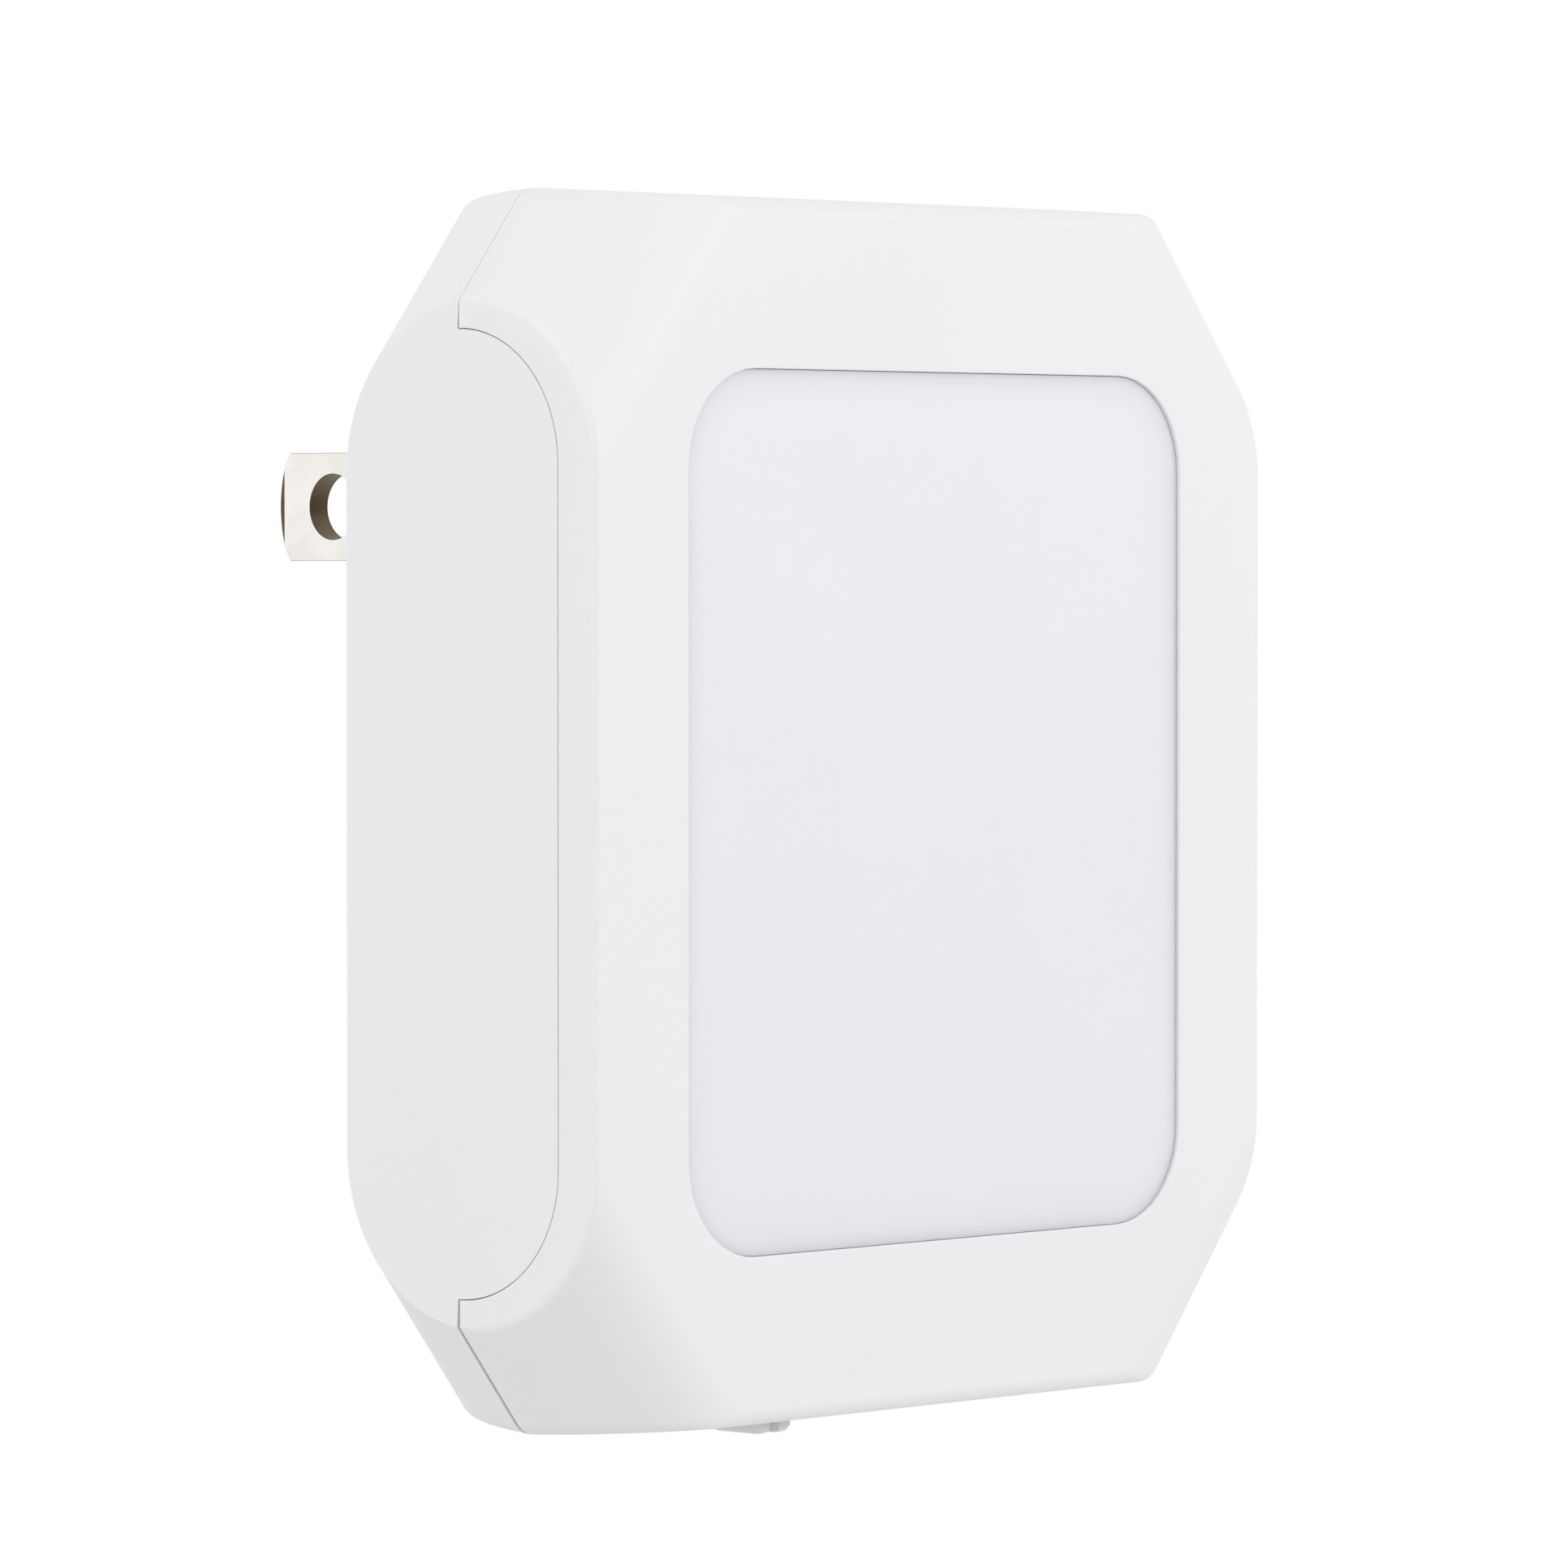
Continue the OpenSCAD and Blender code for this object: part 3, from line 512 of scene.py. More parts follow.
def skin(bm, form, depths, splits, cut=None):
    """Upper and lower bands of the form between depths. Gives the rows of vertices, top and bottom."""
    rows = {}
    for up in (1, -1):
        rows[up] = [loop_of(bm, [form.point(p, d, up) for p in form.upper(d, splits)])
                    for d in depths]
        for one, two in zip(rows[up], rows[up][1:]):
            for i in range(len(one) - 1):
                if cut and up == -1 and cut(one[i].co, one[i + 1].co, two[i].co):
                    continue
                bm.faces.new([one[i], one[i + 1], two[i + 1], two[i]])
    return rows


def weigh(bm, layer, pairs, value):
    """Sets the bevel weight of the edges between pairs of vertices."""
    for v, w in pairs:
        edge = bm.edges.get((v, w))
        if edge:
            edge[layer] = value


def chain(vertices):
    return list(zip(vertices, vertices[1:]))


def ring(vertices):
    return list(zip(vertices, vertices[1:] + vertices[:1]))


def side_patches(bm, form, rows, arc, tongue):
    """Both flat side faces: round the notch of the front shell, or with the tongue of the back one."""
    outlines = {}
    for side in (1, -1):
        edges, lines = {}, {}
        for up in (1, -1):
            edges[up] = [r[0 if side > 0 else -1] for r in rows[up]]
            lines[up] = loop_of(bm, [Vector((side * form.w, FRONT_Y + d, CASE_Z + up * z))
                                     for d, z in arc])
        if tongue:
            bm.faces.new(lines[1] + lines[-1][::-1])
            bm.faces.new([lines[1][-1]] + edges[1] + edges[-1][::-1] + [lines[-1][-1]])
        else:
            for up in (1, -1):
                bridge(bm, edges[up], lines[up], closed=False)
            bm.faces.new([edges[1][0], edges[-1][0], lines[-1][0], lines[1][0]])
        outlines[side] = lines[1][::-1] + lines[-1]
    return outlines


def seam_chain(rows, patches, up, row):
    """The seam's edge from one side tongue over the top, or bottom, to the other."""
    ends = {side: patches[side][0 if up > 0 else -1] for side in (1, -1)}
    return [ends[1]] + rows[up][row] + [ends[-1]]


def face_loop(rows, row):
    """The closed outline of the front or back face."""
    return rows[1][row] + list(reversed(rows[-1][row]))


def even_depths(form, stops, counts):
    """Depths with even steps round the arc between exact stops."""
    turn = [math.acos(max(-1.0, min(1.0, (form.bar - d) / form.r))) for d in stops]
    made = [stops[0]]
    for a0, a1, stop, count in zip(turn, turn[1:], stops[1:], counts):
        made += [form.bar - form.r * math.cos(a0 + (a1 - a0) * i / count) for i in range(1, count)]
        made.append(stop)
    return made


def mark_creases(bm, layer, rows, face_row):
    """Weights for the side faces' edges. Their rounding fades out in steps towards the seam."""
    fade = 0.25
    for side in (1, -1):
        end = 0 if side > 0 else -1
        for up in (1, -1):
            pairs = chain([r[end] for r in rows[up]])
            if face_row:
                pairs.reverse()
            for i, pair in enumerate(pairs):
                weigh(bm, layer, [pair], min(1.0, fade * (len(pairs) - 1 - i)))
        weigh(bm, layer, [(rows[1][face_row][end], rows[-1][face_row][end])], 1.0)


def block_box(bm, low, high):
    """A box between two corners, part of a larger piece."""
    made = bmesh.ops.create_cube(bm, size=1.0)["verts"]
    for v in made:
        v.co = Vector([low[i] + (v.co[i] + 0.5) * (high[i] - low[i]) for i in range(3)])


def lens_opening():
    """Width and height of the diffuser's opening."""
    return LENS_HIGH.x - LENS_LOW.x - 2 * FLANGE_LIP, LENS_HIGH.z - LENS_LOW.z - 2 * FLANGE_LIP


class NIGHTLIGHT_OT_front_shell(bpy.types.Operator):
    """Make the front shell, with its opening for the diffuser and its side notches"""

    bl_idname = "night_light.front_shell"
    bl_label = "Front shell"

    def execute(self, context):
        s = context.scene.night_light_sizes
        bm = bmesh.new()
        layer = bm.edges.layers.float.new("bevel_weight_edge")
        count = 24
        arc = tongue_arc(s, s.tongue_gap, s.seam_depth, count)
        w, h = lens_opening()
        made = []
        for inset in (0.0, s.wall):
            form = CaseForm(s, inset)
            rows = skin(bm, form, even_depths(form, (inset, s.seam_depth), (count,)), ())
            patches = side_patches(bm, form, rows, arc, False)
            hole = loop_of(bm, at_depth(rounded(w, h, s.lens_corner), FRONT_Y + inset, 0, CASE_Z))
            fill_flat(bm, [face_loop(rows, 0), hole])
            made.append((rows, patches, hole))
        (rows, patches, hole), (rows_in, patches_in, hole_in) = made
        bridge(bm, hole, hole_in)
        for up in (1, -1):
            bridge(bm, seam_chain(rows, patches, up, -1), seam_chain(rows_in, patches_in, up, -1),
                   closed=False)
        for side in (1, -1):
            bridge(bm, patches[side], patches_in[side], closed=False)
        mark_creases(bm, layer, rows, 0)
        weigh(bm, layer, ring(hole), OPENING_SHARE)
        for side in (1, -1):
            place = (side * POST_X, CASE_Z - s.screw_drop)
            prism(bm, circle(*place, POST_R), [circle(*place, SHANK_BORE_R)],
                  FRONT_Y + s.wall - OVERLAP, BOARD_HIGH.y + CLEARANCE)
        obj = new_piece("Front_shell", bm, [shell_material()], "case", ["front_shell"])
        soften(obj, s.edge_soft, weighted=True, sharp=36)
        return {"FINISHED"}


class NIGHTLIGHT_OT_back_shell(bpy.types.Operator):
    """Make the back shell, with its side tongues, plug block, switch slot and screw posts"""

    bl_idname = "night_light.back_shell"
    bl_label = "Back shell"

    def execute(self, context):
        s = context.scene.night_light_sizes
        bm = bmesh.new()
        layer = bm.edges.layers.float.new("bevel_weight_edge")
        start = s.seam_depth + s.seam_gap
        slot_w = s.knob_width + s.knob_travel + 2 * s.knob_gap
        slot_end = (CAN_LOW.y + CAN_HIGH.y) / 2 + s.knob_depth / 2 + s.knob_gap - FRONT_Y
        counts = (8, 16)
        arc = tongue_arc(s, 0.0, start, sum(counts))
        half = slot_w / 2
        post_z, block_z = CASE_Z - s.screw_drop, -s.block_drop
        # The well from the case into the plug block is a little lower than the block's inside
        well_less, well_sink, well_r = 4.2 * MM, 0.1 * MM, 3.2 * MM
        well_outline = rounded(s.block_width - 2 * s.wall, s.block_height - well_less, well_r)

        def in_slot(one, other, after):
            """Whether the face that starts at this edge and ends behind it lies in the slot."""
            slack = 0.001 * MM
            return (max(abs(one.x), abs(other.x)) < half + slack
                    and after.y - FRONT_Y < slot_end + slack)

        # The seam's gap leans: the shells close at the top and stay open at the bottom
        made = []
        for inset, bore in ((0.0, HEAD_BORE_R), (s.wall, BOSS_R)):
            form = CaseForm(s, inset)
            depths = even_depths(form, (start, slot_end, s.case_depth - inset), counts)
            rows = skin(bm, form, depths, (half,), in_slot)
            for up in (1, -1):
                for v in rows[up][0]:
                    v.co.y -= s.seam_lean * up
            patches = side_patches(bm, form, rows, arc, True)
            y = FRONT_Y + s.case_depth - inset
            bores = [loop_of(bm, at_depth(circle(side * POST_X, post_z, bore), y))
                     for side in (1, -1)]
            well = loop_of(bm, at_depth(well_outline, y, 0, block_z - well_sink))
            fill_flat(bm, [face_loop(rows, -1), *bores, well])
            middle = len(rows[-1][0]) // 2
            cut = [rows[-1][r][middle - 1] for r in range(counts[0] + 1)]
            cut += [rows[-1][r][middle] for r in range(counts[0], -1, -1)]
            made.append((rows, patches, bores, well, cut))
        (rows, patches, bores, well, cut), (rows_in, patches_in, bores_in, well_in, cut_in) = made
        bridge(bm, cut, cut_in, closed=False)
        bridge(bm, well, well_in)
        for up in (1, -1):
            edge, edge_in = seam_chain(rows, patches, up, 0), seam_chain(rows_in, patches_in, up, 0)
            # The lower seam is broken by the switch's slot
            gap = len(edge) // 2 if up < 0 else len(edge)
            bridge(bm, edge[:gap], edge_in[:gap], closed=False)
            if up < 0:
                bridge(bm, edge[gap:], edge_in[gap:], closed=False)
        for side in (1, -1):
            bridge(bm, patches[side], patches_in[side], closed=False)
        mark_creases(bm, layer, rows, -1)
        seat = SCREW_HIGH.y - HEAD_T
        foot = BOARD_HIGH.y + 2 * CLEARANCE
        for side, top, low in ((1, bores[0], bores_in[0]), (-1, bores[1], bores_in[1])):
            steps = [loop_of(bm, at_depth(circle(side * POST_X, post_z, r), y))
                     for r, y in ((HEAD_BORE_R, seat), (SHANK_BORE_R, seat),
                                  (SHANK_BORE_R, foot), (BOSS_R, foot))]
            for one, two in zip([top, *steps], [*steps, low]):
                bridge(bm, one, two)
            weigh(bm, layer, ring(top), OPENING_SHARE)
        self.plug_block(bm, layer, s, block_z)
        self.inner_posts(bm, s)
        obj = new_piece("Back_shell", bm, [shell_material()], "case", ["back_shell"])
        soften(obj, s.edge_soft, weighted=True, sharp=36)
        return {"FINISHED"}

    def plug_block(self, bm, layer, s, block_z):
        """The hollow block behind the case, whose rear face lies against the wall."""
        root_in = 0.8 * MM
        root = FRONT_Y + s.case_depth - root_in
        insert_w = INSERT_HIGH.x - INSERT_LOW.x - 2 * INSERT_LIP
        insert_h = INSERT_HIGH.z - INSERT_LOW.z - 2 * INSERT_LIP
        outline = rounded(s.block_width, s.block_height, s.block_corner)
        inside = rounded(s.block_width - 2 * s.wall, s.block_height - 2 * s.wall,
                         s.block_corner - s.wall)
        window = rounded(insert_w, insert_h, INSERT_R)
        rim, top = [loop_of(bm, at_depth(outline, y, 0, block_z)) for y in (root, 0.0)]
        rim_in, top_in = [loop_of(bm, at_depth(inside, y, 0, block_z)) for y in (root, -s.wall)]
        hole, hole_in = [loop_of(bm, at_depth(window, y)) for y in (0.0, -s.wall)]
        bridge(bm, rim, top)
        bridge(bm, rim_in, top_in)
        bridge(bm, rim, rim_in)
        bridge(bm, hole, hole_in)
        fill_flat(bm, [top, hole])
        fill_flat(bm, [top_in, hole_in])
        weigh(bm, layer, ring(top), BLOCK_SHARE)
        weigh(bm, layer, ring(hole), WINDOW_SHARE)

    def inner_posts(self, bm, s):
        """Posts that hold the board, and tabs that keep the shells in line."""
        stay_in, stay_end = 7.5 * MM, 7.8 * MM
        stay_x = CASE_W / 2 - s.wall - stay_in
        stay_z = (BOARD_HIGH.z - BOARD_LOW.z) / 2 - stay_end
        y0, y1 = BOARD_HIGH.y, FRONT_Y + s.case_depth - s.wall + OVERLAP
        tab_x, tab_w, tab_t, tab_gap, tab_long = [v * MM for v in (14, 8, 0.8, 0.26, 1.5)]
        root_up, root_long = 1.2 * MM, 3 * MM
        seam, outer = FRONT_Y + s.seam_depth, CASE_H / 2 - s.wall - tab_gap
        for sx in (1, -1):
            for sz in (1, -1):
                turned(bm, [(STAY_R, y0), (STAY_R, y1)], sx * stay_x, CASE_Z + sz * stay_z, 24)
                x0 = sx * tab_x - tab_w / 2
                for y, reach in ((seam - tab_long, 0.0), (seam + s.seam_gap, root_up)):
                    z0, z1 = sorted((CASE_Z + sz * (outer - tab_t), CASE_Z + sz * (outer + reach)))
                    block_box(bm, (x0, y, z0), (x0 + tab_w, seam + root_long, z1))


class NIGHTLIGHT_OT_diffuser(bpy.types.Operator):
    """Make the frosted diffuser, whose face is pillowed down to its rim"""

    bl_idname = "night_light.diffuser"
    bl_label = "Diffuser"

    def execute(self, context):
        s = context.scene.night_light_sizes
        bm = bmesh.new()
        w, h = [length - 2 * s.lens_gap for length in lens_opening()]
        r, smallest_r, steps = s.lens_corner - s.lens_gap, 0.5 * MM, 12
        loops = []
        for i in range(steps + 1):
            inset = s.lens_crown * (1 - math.sin(math.pi / 2 * (1 - i / steps)))
            depth = s.lens_sink + s.lens_fall * (1 - inset / s.lens_crown) ** 2
            loops.append(loop_of(bm, at_depth(
                rounded(w - 2 * inset, h - 2 * inset, max(r - inset, smallest_r)),
                FRONT_Y + depth, 0, CASE_Z)))
        loops.sort(key=lambda loop: loop[0].co.y)
        flange_front = FRONT_Y + s.wall + CLEARANCE
        loops.append(loop_of(bm, at_depth(rounded(w, h, r), flange_front, 0, CASE_Z)))
        flange = rounded(LENS_HIGH.x - LENS_LOW.x, LENS_HIGH.z - LENS_LOW.z, s.lens_corner)
        loops.append(loop_of(bm, at_depth(flange, flange_front, 0, CASE_Z)))
        loops.append(loop_of(bm, at_depth(flange, LENS_HIGH.y, 0, CASE_Z)))
        for one, two in zip(loops, loops[1:]):
            bridge(bm, one, two)
        bm.faces.new(loops[0])
        bm.faces.new(loops[-1])
        obj = new_piece("Diffuser", bm, [lens_material()], "case", ["diffuser"],
                        smooth=60)
        normals = obj.modifiers.new("Flat faces stay flat", "WEIGHTED_NORMAL")
        normals.keep_sharp = True
        return {"FINISHED"}


# Place of the punched edge's finish among a blade's materials
CUT_FACE = 1


class NIGHTLIGHT_OT_plug(bpy.types.Operator):
    """Make the insert in the plug block and both blades with their curved tips"""

    bl_idname = "night_light.plug"
    bl_label = "Insert and blades"

    def execute(self, context):
        s = context.scene.night_light_sizes
        self.insert(s)
        nickel, cut = nickel_material(), cut_edge_material()
        for name, node_name in (("Left_blade", "left_blade"), ("Right_blade", "right_blade")):
            low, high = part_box(node_name)
            self.blade(s, name, node_name, (low.x + high.x) / 2, high.x - low.x, nickel, cut)
        return {"FINISHED"}

    def insert(self, s):
        """The insert with a flange inside the block, and slots a little larger than the blades."""
        bm = bmesh.new()
        w, h = INSERT_HIGH.x - INSERT_LOW.x, INSERT_HIGH.z - INSERT_LOW.z
        x = (BLADE_LOW.x + BLADE_HIGH.x) / 2
        slack, less = 0.1 * MM, 2 * (INSERT_LIP + CLEARANCE)
        t, bw = BLADE_HIGH.x - BLADE_LOW.x + slack, s.blade_height + slack
        slots = [[(side * x + px, pz) for px, pz in
                  ((t / 2, -bw / 2), (t / 2, bw / 2), (-t / 2, bw / 2), (-t / 2, -bw / 2))]
                 for side in (1, -1)]
        prism(bm, rounded(w - less, h - less, INSERT_R - CLEARANCE), slots, -s.wall, 0.0)
        prism(bm, rounded(w, h, INSERT_R), slots, INSERT_LOW.y, -s.wall)
        obj = new_piece("Plug_insert", bm, [shell_material()], "case", ["plug_insert"])
        soften(obj, s.insert_soft)

    def blade(self, s, name, node_name, x, thick, nickel, cut):
        """A flat blade along y, plated but for its darker punched tip, bevels and holes."""
        bm = bmesh.new()
        length, half = BLADE_HIGH.y, s.blade_height / 2
        shank, shoulder, start = (BLADE_HIGH.z - BLADE_LOW.z) / 2, INSERT_LOW.y, BLADE_LOW.y
        chamfer_y = length - s.tip_long

        def tip(furthest):
            """The curved tip's (y, z) points, cut off straight at a furthest y."""
            steps, last = 24, math.asin(half / s.blade_tip)
            centre = length - s.blade_tip
            return [(min(centre + s.blade_tip * math.cos(a), furthest), s.blade_tip * math.sin(a))
                    for a in [last * (2 * i / steps - 1) for i in range(steps + 1)]]

        base = [(shoulder, half), (shoulder, shank), (start, shank), (start, -shank),
                (shoulder, -shank), (shoulder, -half)]
        body = tip(chamfer_y) + base
        hole = circle(length - s.blade_hole_in, 0.0, s.blade_hole / 2, 48)
        rivet_in, rivet_r = 3 * MM, 0.85 * MM
        rivet = circle(start + rivet_in, 0.0, rivet_r, 24)
        ends, sides = tip(length), {}
        count = len(ends)
        for side in (1, -1):
            sides[side] = [loop_of(bm, [Vector((x + side * thick / 2, y, z)) for y, z in loop])
                           for loop in (body, hole, rivet)]
            fill_flat(bm, sides[side])
        bridge(bm, *[loops[0][count - 1:] + loops[0][:1] for loops in (sides[1], sides[-1])],
               closed=False)
        for one, two in zip(sides[1][1:], sides[-1][1:]):
            bridge(bm, one, two, material=CUT_FACE)
        # A straight chamfer across the curved tip leaves a crescent on each face
        noses = {}
        for side in (1, -1):
            cuts = [s.tip_deep * max(y - chamfer_y, 0.0) / s.tip_long for y, z in ends]
            noses[side] = loop_of(bm, [Vector((x + side * (thick / 2 - cut), y, z))
                                       for cut, (y, z) in zip(cuts, ends)])
        for side in (1, -1):
            bridge(bm, sides[side][0][:count], noses[side], closed=False, material=CUT_FACE)
        bridge(bm, noses[1], noses[-1], closed=False, material=CUT_FACE)
        obj = new_piece(name, bm, [nickel, cut], "case", [node_name])
        soften(obj, s.blade_soft, material=CUT_FACE, sharp=18)


class NIGHTLIGHT_OT_switch(bpy.types.Operator):
    """Make the sliding knob on its carriage"""

    bl_idname = "night_light.switch"
    bl_label = "Switch knob"

    def execute(self, context):
        s = context.scene.night_light_sizes
        bm = bmesh.new()
        x = (KNOB_LOW.x + KNOB_HIGH.x) / 2
        front, tip = KNOB_LOW.y, KNOB_LOW.z
        top = CASE_Z - CASE_H / 2 - s.grip_gap
        self.grip(bm, s, x, front, tip, top)
        # The stem ends above the groove, and reaches up into the carriage inside the can's sheet
        stem, above, sheet, reach = s.knob_width / 2, 0.1 * MM, 0.45 * MM, 0.15 * MM
        block_box(bm, (x - stem, front, tip + s.groove_height + above),
                  (x + stem, front + s.knob_depth, CAN_LOW.z + sheet + reach))
        block_box(bm, (KNOB_LOW.x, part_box("switch_bridge")[1].y, CAN_LOW.z + sheet),
                  (KNOB_HIGH.x, CAN_HIGH.y - sheet, KNOB_HIGH.z))
        obj = new_piece("Switch_knob", bm, [knob_material()], "switch", ["switch_knob"])
        soften(obj, s.knob_soft)
        return {"FINISHED"}

    def grip(self, bm, s, x, front, tip, top):
        """Two ridges with a groove between them, with sloping outer sides and rounded ends."""
        w, g = s.grip_width / 2, s.groove_width / 2
        # A ridge's inner and outer side: how far in from the side, and how far above the tip
        inner = ((0.0, s.groove_height), (0.0, 0.1 * MM), (0.1 * MM, 0.0))
        outer = ((0.45 * MM, 0.0), (0.22 * MM, 0.1 * MM), (0.06 * MM, 0.4 * MM))
        half = [(g + into, tip + up) for into, up in inner]
        half += [(w - into, tip + up) for into, up in outer] + [(w, top)]
        profile = half + [(-px, pz) for px, pz in reversed(half)]
        rows, soft = [], 0.45 * MM
        for step in (0.0, 0.02, 0.08, 0.2, 0.45):
            into = step * MM
            lift = soft - math.sqrt(soft ** 2 - (soft - into) ** 2)
            for y in (front + into, front + s.grip_depth - into):
                rows.append((y, [Vector((x + px, y, max(pz, tip + lift))) for px, pz in profile]))
        rows.sort(key=lambda row: row[0])
        loops = [loop_of(bm, points) for y, points in rows]
        for one, two in zip(loops, loops[1:]):
            bridge(bm, one, two)
        bm.faces.new(loops[0])
        bm.faces.new(loops[-1])


class NIGHTLIGHT_OT_screws(bpy.types.Operator):
    """Make the two case screws with domed, cross-recessed heads"""

    bl_idname = "night_light.screws"
    bl_label = "Case screws"

    def execute(self, context):
        s = context.scene.night_light_sizes
        bm = bmesh.new()
        z, top, end = CASE_Z - s.screw_drop, SCREW_HIGH.y, SCREW_LOW.y
        seat, y = top - HEAD_T, end + 1 * MM
        pitch, last_thread, core, crest, neck = 0.7 * MM, 0.9 * MM, 0.78 * MM, 0.99 * MM, 0.98 * MM
        profile = [(0.25 * MM, end), (0.8 * MM, y)]
        while y < seat - last_thread:
            profile += [(core, y + 0.1 * MM), (crest, y + 0.35 * MM), (core, y + 0.6 * MM)]
            y += pitch
        dome = [(HEAD_R, 0.0), (HEAD_R, 0.5 * MM), (1.66 * MM, 0.85 * MM), (1.35 * MM, 1.1 * MM),
                (0.9 * MM, 1.24 * MM), (0.4 * MM, HEAD_T)]
        profile += [(neck, seat - 0.1 * MM), (neck, seat)] + [(r, seat + up) for r, up in dome]
        for side in (1, -1):
            turned(bm, profile, side * POST_X, z, 48)
        # Nickel-plated steel, with the lines of the drawn wire along it
        plate = metal("nickel_plated_steel_screw", "#C9C7C2", 0.28, 0.15 * MM, 2, 0.002 * MM)
        obj = new_piece("Joining_screws", bm, [plate], "case", ["case_screws"])
        self.cut_recess(obj, z, top)
        return {"FINISHED"}

    def cut_recess(self, obj, z, top):
        """Cuts a tapered cross into each head."""
        # The cutter's upper and lower end: height over the head's top, half length and half width
        ends = ((0.2 * MM, 1.15 * MM, 0.3 * MM), (-0.75 * MM, 0.55 * MM, 0.2 * MM))
        bm = bmesh.new()
        for side in (1, -1):
            for turn in (0, 90):
                rows = []
                spin = Matrix.Rotation(math.radians(turn), 2)
                for up, long, wide in ends:
                    outline = [spin @ Vector(p) for p in ((long, -wide), (long, wide),
                                                          (-long, wide), (-long, -wide))]
                    rows.append(loop_of(bm, at_depth(outline, top + up, side * POST_X, z)))
                bridge(bm, *rows)
                for loop in rows:
                    bm.faces.new(loop)
        bmesh.ops.recalc_face_normals(bm, faces=bm.faces)
        cutter = mesh_object("Recess_cutter", bm)
        cut = obj.modifiers.new("Cross recess", "BOOLEAN")
        cut.operation = "DIFFERENCE"
        cut.solver = "EXACT"
        cut.use_self = True
        cut.object = cutter
        bake(obj, 40)
        bpy.data.objects.remove(cutter)


class NIGHTLIGHT_OT_inside(bpy.types.Operator):
    """Finish the pieces inside the case, which keep their CAD shapes"""

    bl_idname = "night_light.inside"
    bl_label = "Inside"

    def execute(self, context):
        finishes = []
        for names, title, hex_value, grain, depth, rough, settings in MOULDED:
            finishes.append((names, grained(title, hex_value, grain * MM, depth * MM, rough, settings,
                                            mottle=0.06)))
        for names, title, hex_value, rough, line, stretch in ROLLED:
            finishes.append((names, metal(title, hex_value, rough, line * MM, stretch, 0.002 * MM,
                                          stain=0.1)))
        for names, made in finishes:
            for name in names:
                give(NODES[name], made)
        return {"FINISHED"}


SENSOR = 36
# Camera about the middle of the case at its seam: angles in degrees, lens in mm (its length is fitted
# in pixels of a frame 1932 pixels wide), the rest in metres
CAMERA = {"azimuth": -48.076, "rise": 1.597, "lens": 10885.0 / 1932 * SENSOR, "right": -0.001257,
          "up": 0.001099, "distance": 0.5053}
# Lamps about the case's middle: place and width in metres, and watts
LAMPS = (("Side_softbox", (-0.89, 0.13, 0.42), 0.8, 3.04),
         ("Front_softbox", (0.42, -0.66, 0.2), 0.5, 1.58),
         ("Fill_softbox", (-0.1, -0.9, 0.25), 0.5, 0.82))
# Strength of the room's even light, where 1 is white
ROOM_LIGHT = 0.7
# Floor in metres: half its width, how far it lies under the case, and where its paper begins to turn
# white and is white. The glow is the strength that the paper adds for rays that show the background.
FLOOR = {"half": 4.0, "drop": 0.35, "fade": 0.25, "white": 0.8, "glow": 0.3}


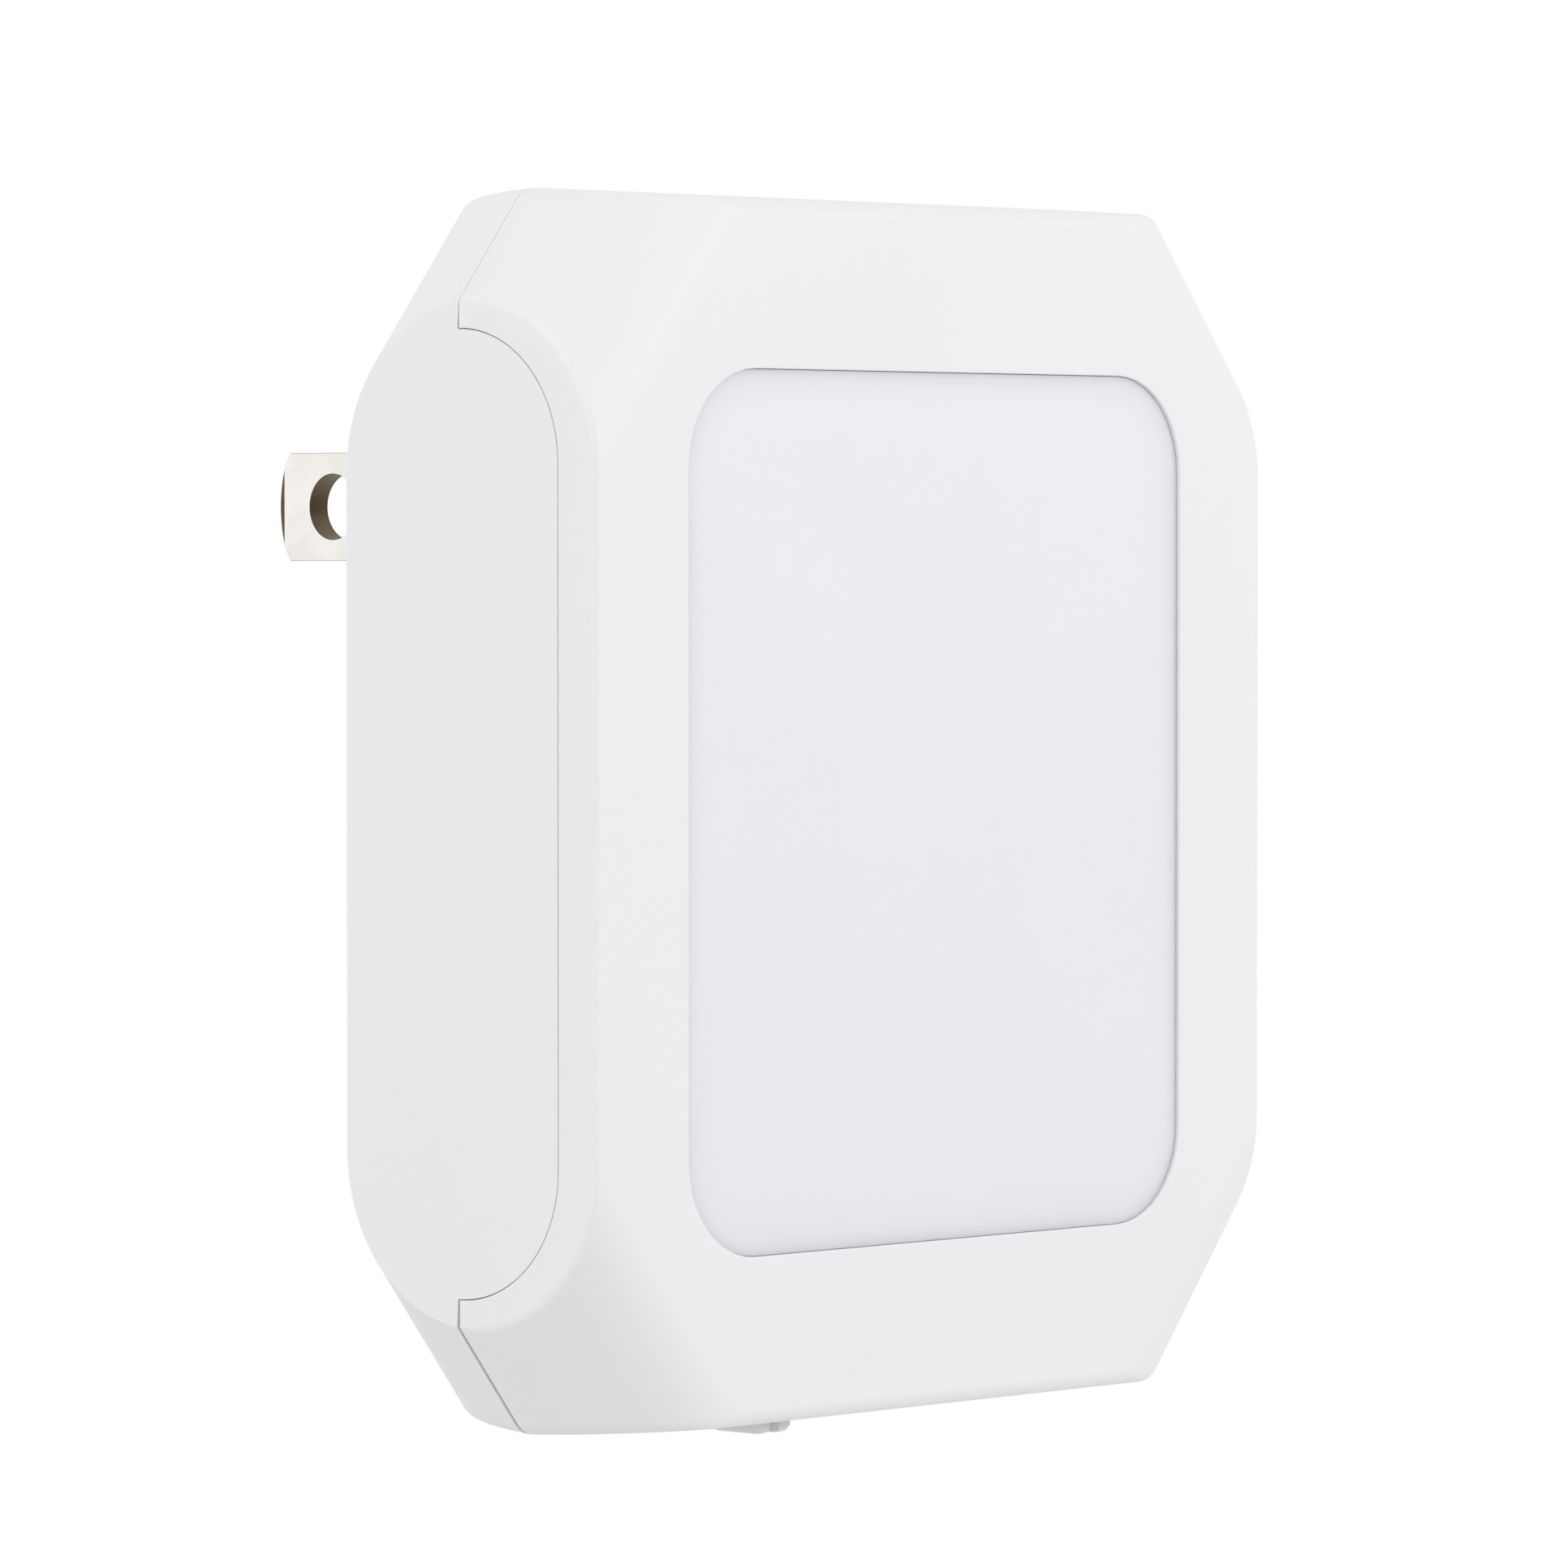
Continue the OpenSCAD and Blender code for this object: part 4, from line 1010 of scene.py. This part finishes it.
class NIGHTLIGHT_OT_stage(bpy.types.Operator):
    """Make the pale floor, the soft lamps, the background and the camera"""

    bl_idname = "night_light.stage"
    bl_label = "Stage"

    def execute(self, context):
        self.floor()
        self.lamps()
        self.world(context.scene)
        self.camera(context.scene)
        context.scene.view_settings.view_transform = "Standard"
        return {"FINISHED"}

    def seen_rays(self, tree):
        """1 for rays that show the background: straight, in a reflection or through a window."""
        path = node(tree, "ShaderNodeLightPath")
        seen = node(tree, "ShaderNodeMath", {"operation": "MAXIMUM"},
                    {0: path.outputs["Is Camera Ray"], 1: path.outputs["Is Glossy Ray"]})
        return node(tree, "ShaderNodeMath", {"operation": "MAXIMUM"},
                    {0: seen.outputs[0], 1: path.outputs["Is Transmission Ray"]})

    def floor(self):
        bm = bmesh.new()
        bmesh.ops.create_grid(bm, x_segments=2, y_segments=2, size=FLOOR["half"])
        obj = mesh_object("Floor", bm)
        obj.location = (0, 0, BACK_LOW.z - FLOOR["drop"])
        # Matt paper from a roll, pale grey near the case
        made, tree = blank_material("paper_roll_matt")
        seen = self.seen_rays(tree)
        paper = node(tree, "ShaderNodeBsdfDiffuse", {"Color": linear("#E4E4E4")})
        glow = node(tree, "ShaderNodeEmission", {"Color": linear("#FFFFFF"), "Strength": FLOOR["glow"]})
        white = node(tree, "ShaderNodeEmission", {"Color": linear("#FFFFFF"), "Strength": 1.0})
        near = node(tree, "ShaderNodeAddShader", (), {0: paper.outputs[0], 1: glow.outputs[0]})
        # The paper turns into plain white background away from the case
        place = node(tree, "ShaderNodeTexCoord")
        reach = node(tree, "ShaderNodeVectorMath", {"operation": "LENGTH"},
                     {0: place.outputs["Object"]})
        far = node(tree, "ShaderNodeMapRange", {1: FLOOR["fade"], 2: FLOOR["white"]},
                   {0: reach.outputs["Value"]})
        lit = node(tree, "ShaderNodeMixShader", (), {0: far.outputs[0], 1: near.outputs[0],
                                                     2: white.outputs[0]})
        mix = node(tree, "ShaderNodeMixShader", (), {0: seen.outputs[0], 1: paper.outputs[0],
                                                     2: lit.outputs[0]})
        finish_material(tree, mix)
        give(obj, made)

    def lamps(self):
        centre = Vector((0, FRONT_Y / 2, CASE_Z))
        for name, place, width, watts in LAMPS:
            data = bpy.data.lights.new(name, "AREA")
            data.shape = "SQUARE"
            data.size = width
            data.energy = watts
            lamp = bpy.data.objects.new(name, data)
            lamp.location = centre + Vector(place)
            lamp.rotation_mode = "QUATERNION"
            lamp.rotation_quaternion = (-Vector(place)).to_track_quat("-Z", "Y")
            bpy.context.scene.collection.objects.link(lamp)

    def world(self, scene):
        made = bpy.data.worlds.new("Studio")
        made.use_nodes = True
        tree = made.node_tree
        tree.nodes.clear()
        seen = self.seen_rays(tree)
        dim = node(tree, "ShaderNodeBackground", {"Color": linear("#FFFFFF"), "Strength": ROOM_LIGHT})
        bright = node(tree, "ShaderNodeBackground", {"Color": linear("#FFFFFF"), "Strength": 1.0})
        mix = node(tree, "ShaderNodeMixShader", (), {0: seen.outputs[0], 1: dim.outputs[0],
                                                     2: bright.outputs[0]})
        node(tree, "ShaderNodeOutputWorld", (), {"Surface": mix.outputs[0]})
        scene.world = made

    def camera(self, scene):
        """A long lens, left of the case and a little above its middle."""
        azimuth, rise = math.radians(CAMERA["azimuth"]), math.radians(CAMERA["rise"])
        back = Vector((math.sin(azimuth) * math.cos(rise), -math.cos(azimuth) * math.cos(rise),
                       math.sin(rise)))
        right = Vector((math.cos(azimuth), math.sin(azimuth), 0))
        data = bpy.data.cameras.new("Camera")
        data.sensor_width = SENSOR
        data.lens = CAMERA["lens"]
        data.clip_start = 0.01
        obj = bpy.data.objects.new("Camera", data)
        aim = Vector((0, FRONT_Y + scene.night_light_sizes.seam_depth, CASE_Z))
        obj.location = (aim + right * CAMERA["right"] + Vector((0, 0, CAMERA["up"]))
                        + back * CAMERA["distance"])
        obj.rotation_mode = "QUATERNION"
        obj.rotation_quaternion = (-back).to_track_quat("-Z", "Y")
        scene.collection.objects.link(obj)
        scene.camera = obj


STEPS = (
    NIGHTLIGHT_OT_stage,
    NIGHTLIGHT_OT_front_shell,
    NIGHTLIGHT_OT_back_shell,
    NIGHTLIGHT_OT_diffuser,
    NIGHTLIGHT_OT_plug,
    NIGHTLIGHT_OT_switch,
    NIGHTLIGHT_OT_screws,
    NIGHTLIGHT_OT_inside,
)


class NIGHTLIGHT_PT_panel(bpy.types.Panel):
    """Sizes, colours and steps of the night light"""

    bl_idname = "NIGHTLIGHT_PT_panel"
    bl_label = "Night Light"
    bl_space_type = "VIEW_3D"
    bl_region_type = "UI"
    bl_category = "Night Light"

    def draw(self, context):
        layout = self.layout
        for group in (context.scene.night_light_sizes, context.scene.night_light_colours):
            for key in group.bl_rna.properties.keys():
                if key not in ("rna_type", "name"):
                    layout.prop(group, key)
        for step in STEPS:
            layout.operator(step.bl_idname)


CLASSES = (NightLightSizes, NightLightColours, *STEPS, NIGHTLIGHT_PT_panel)


def register():
    for cls in CLASSES:
        bpy.utils.register_class(cls)
    bpy.types.Scene.night_light_sizes = bpy.props.PointerProperty(type=NightLightSizes)
    bpy.types.Scene.night_light_colours = bpy.props.PointerProperty(type=NightLightColours)


def unregister():
    del bpy.types.Scene.night_light_colours
    del bpy.types.Scene.night_light_sizes
    for cls in reversed(CLASSES):
        bpy.utils.unregister_class(cls)


def main():
    # The default scene's own objects go
    for obj in list(bpy.data.objects):
        if obj.name in ("Cube", "Light", "Camera"):
            bpy.data.objects.remove(obj)
    register()
    for step in STEPS:
        family, name = step.bl_idname.split(".")
        getattr(getattr(bpy.ops, family), name)()
    bpy.context.view_layer.update()


if __name__ == "__main__":
    main()
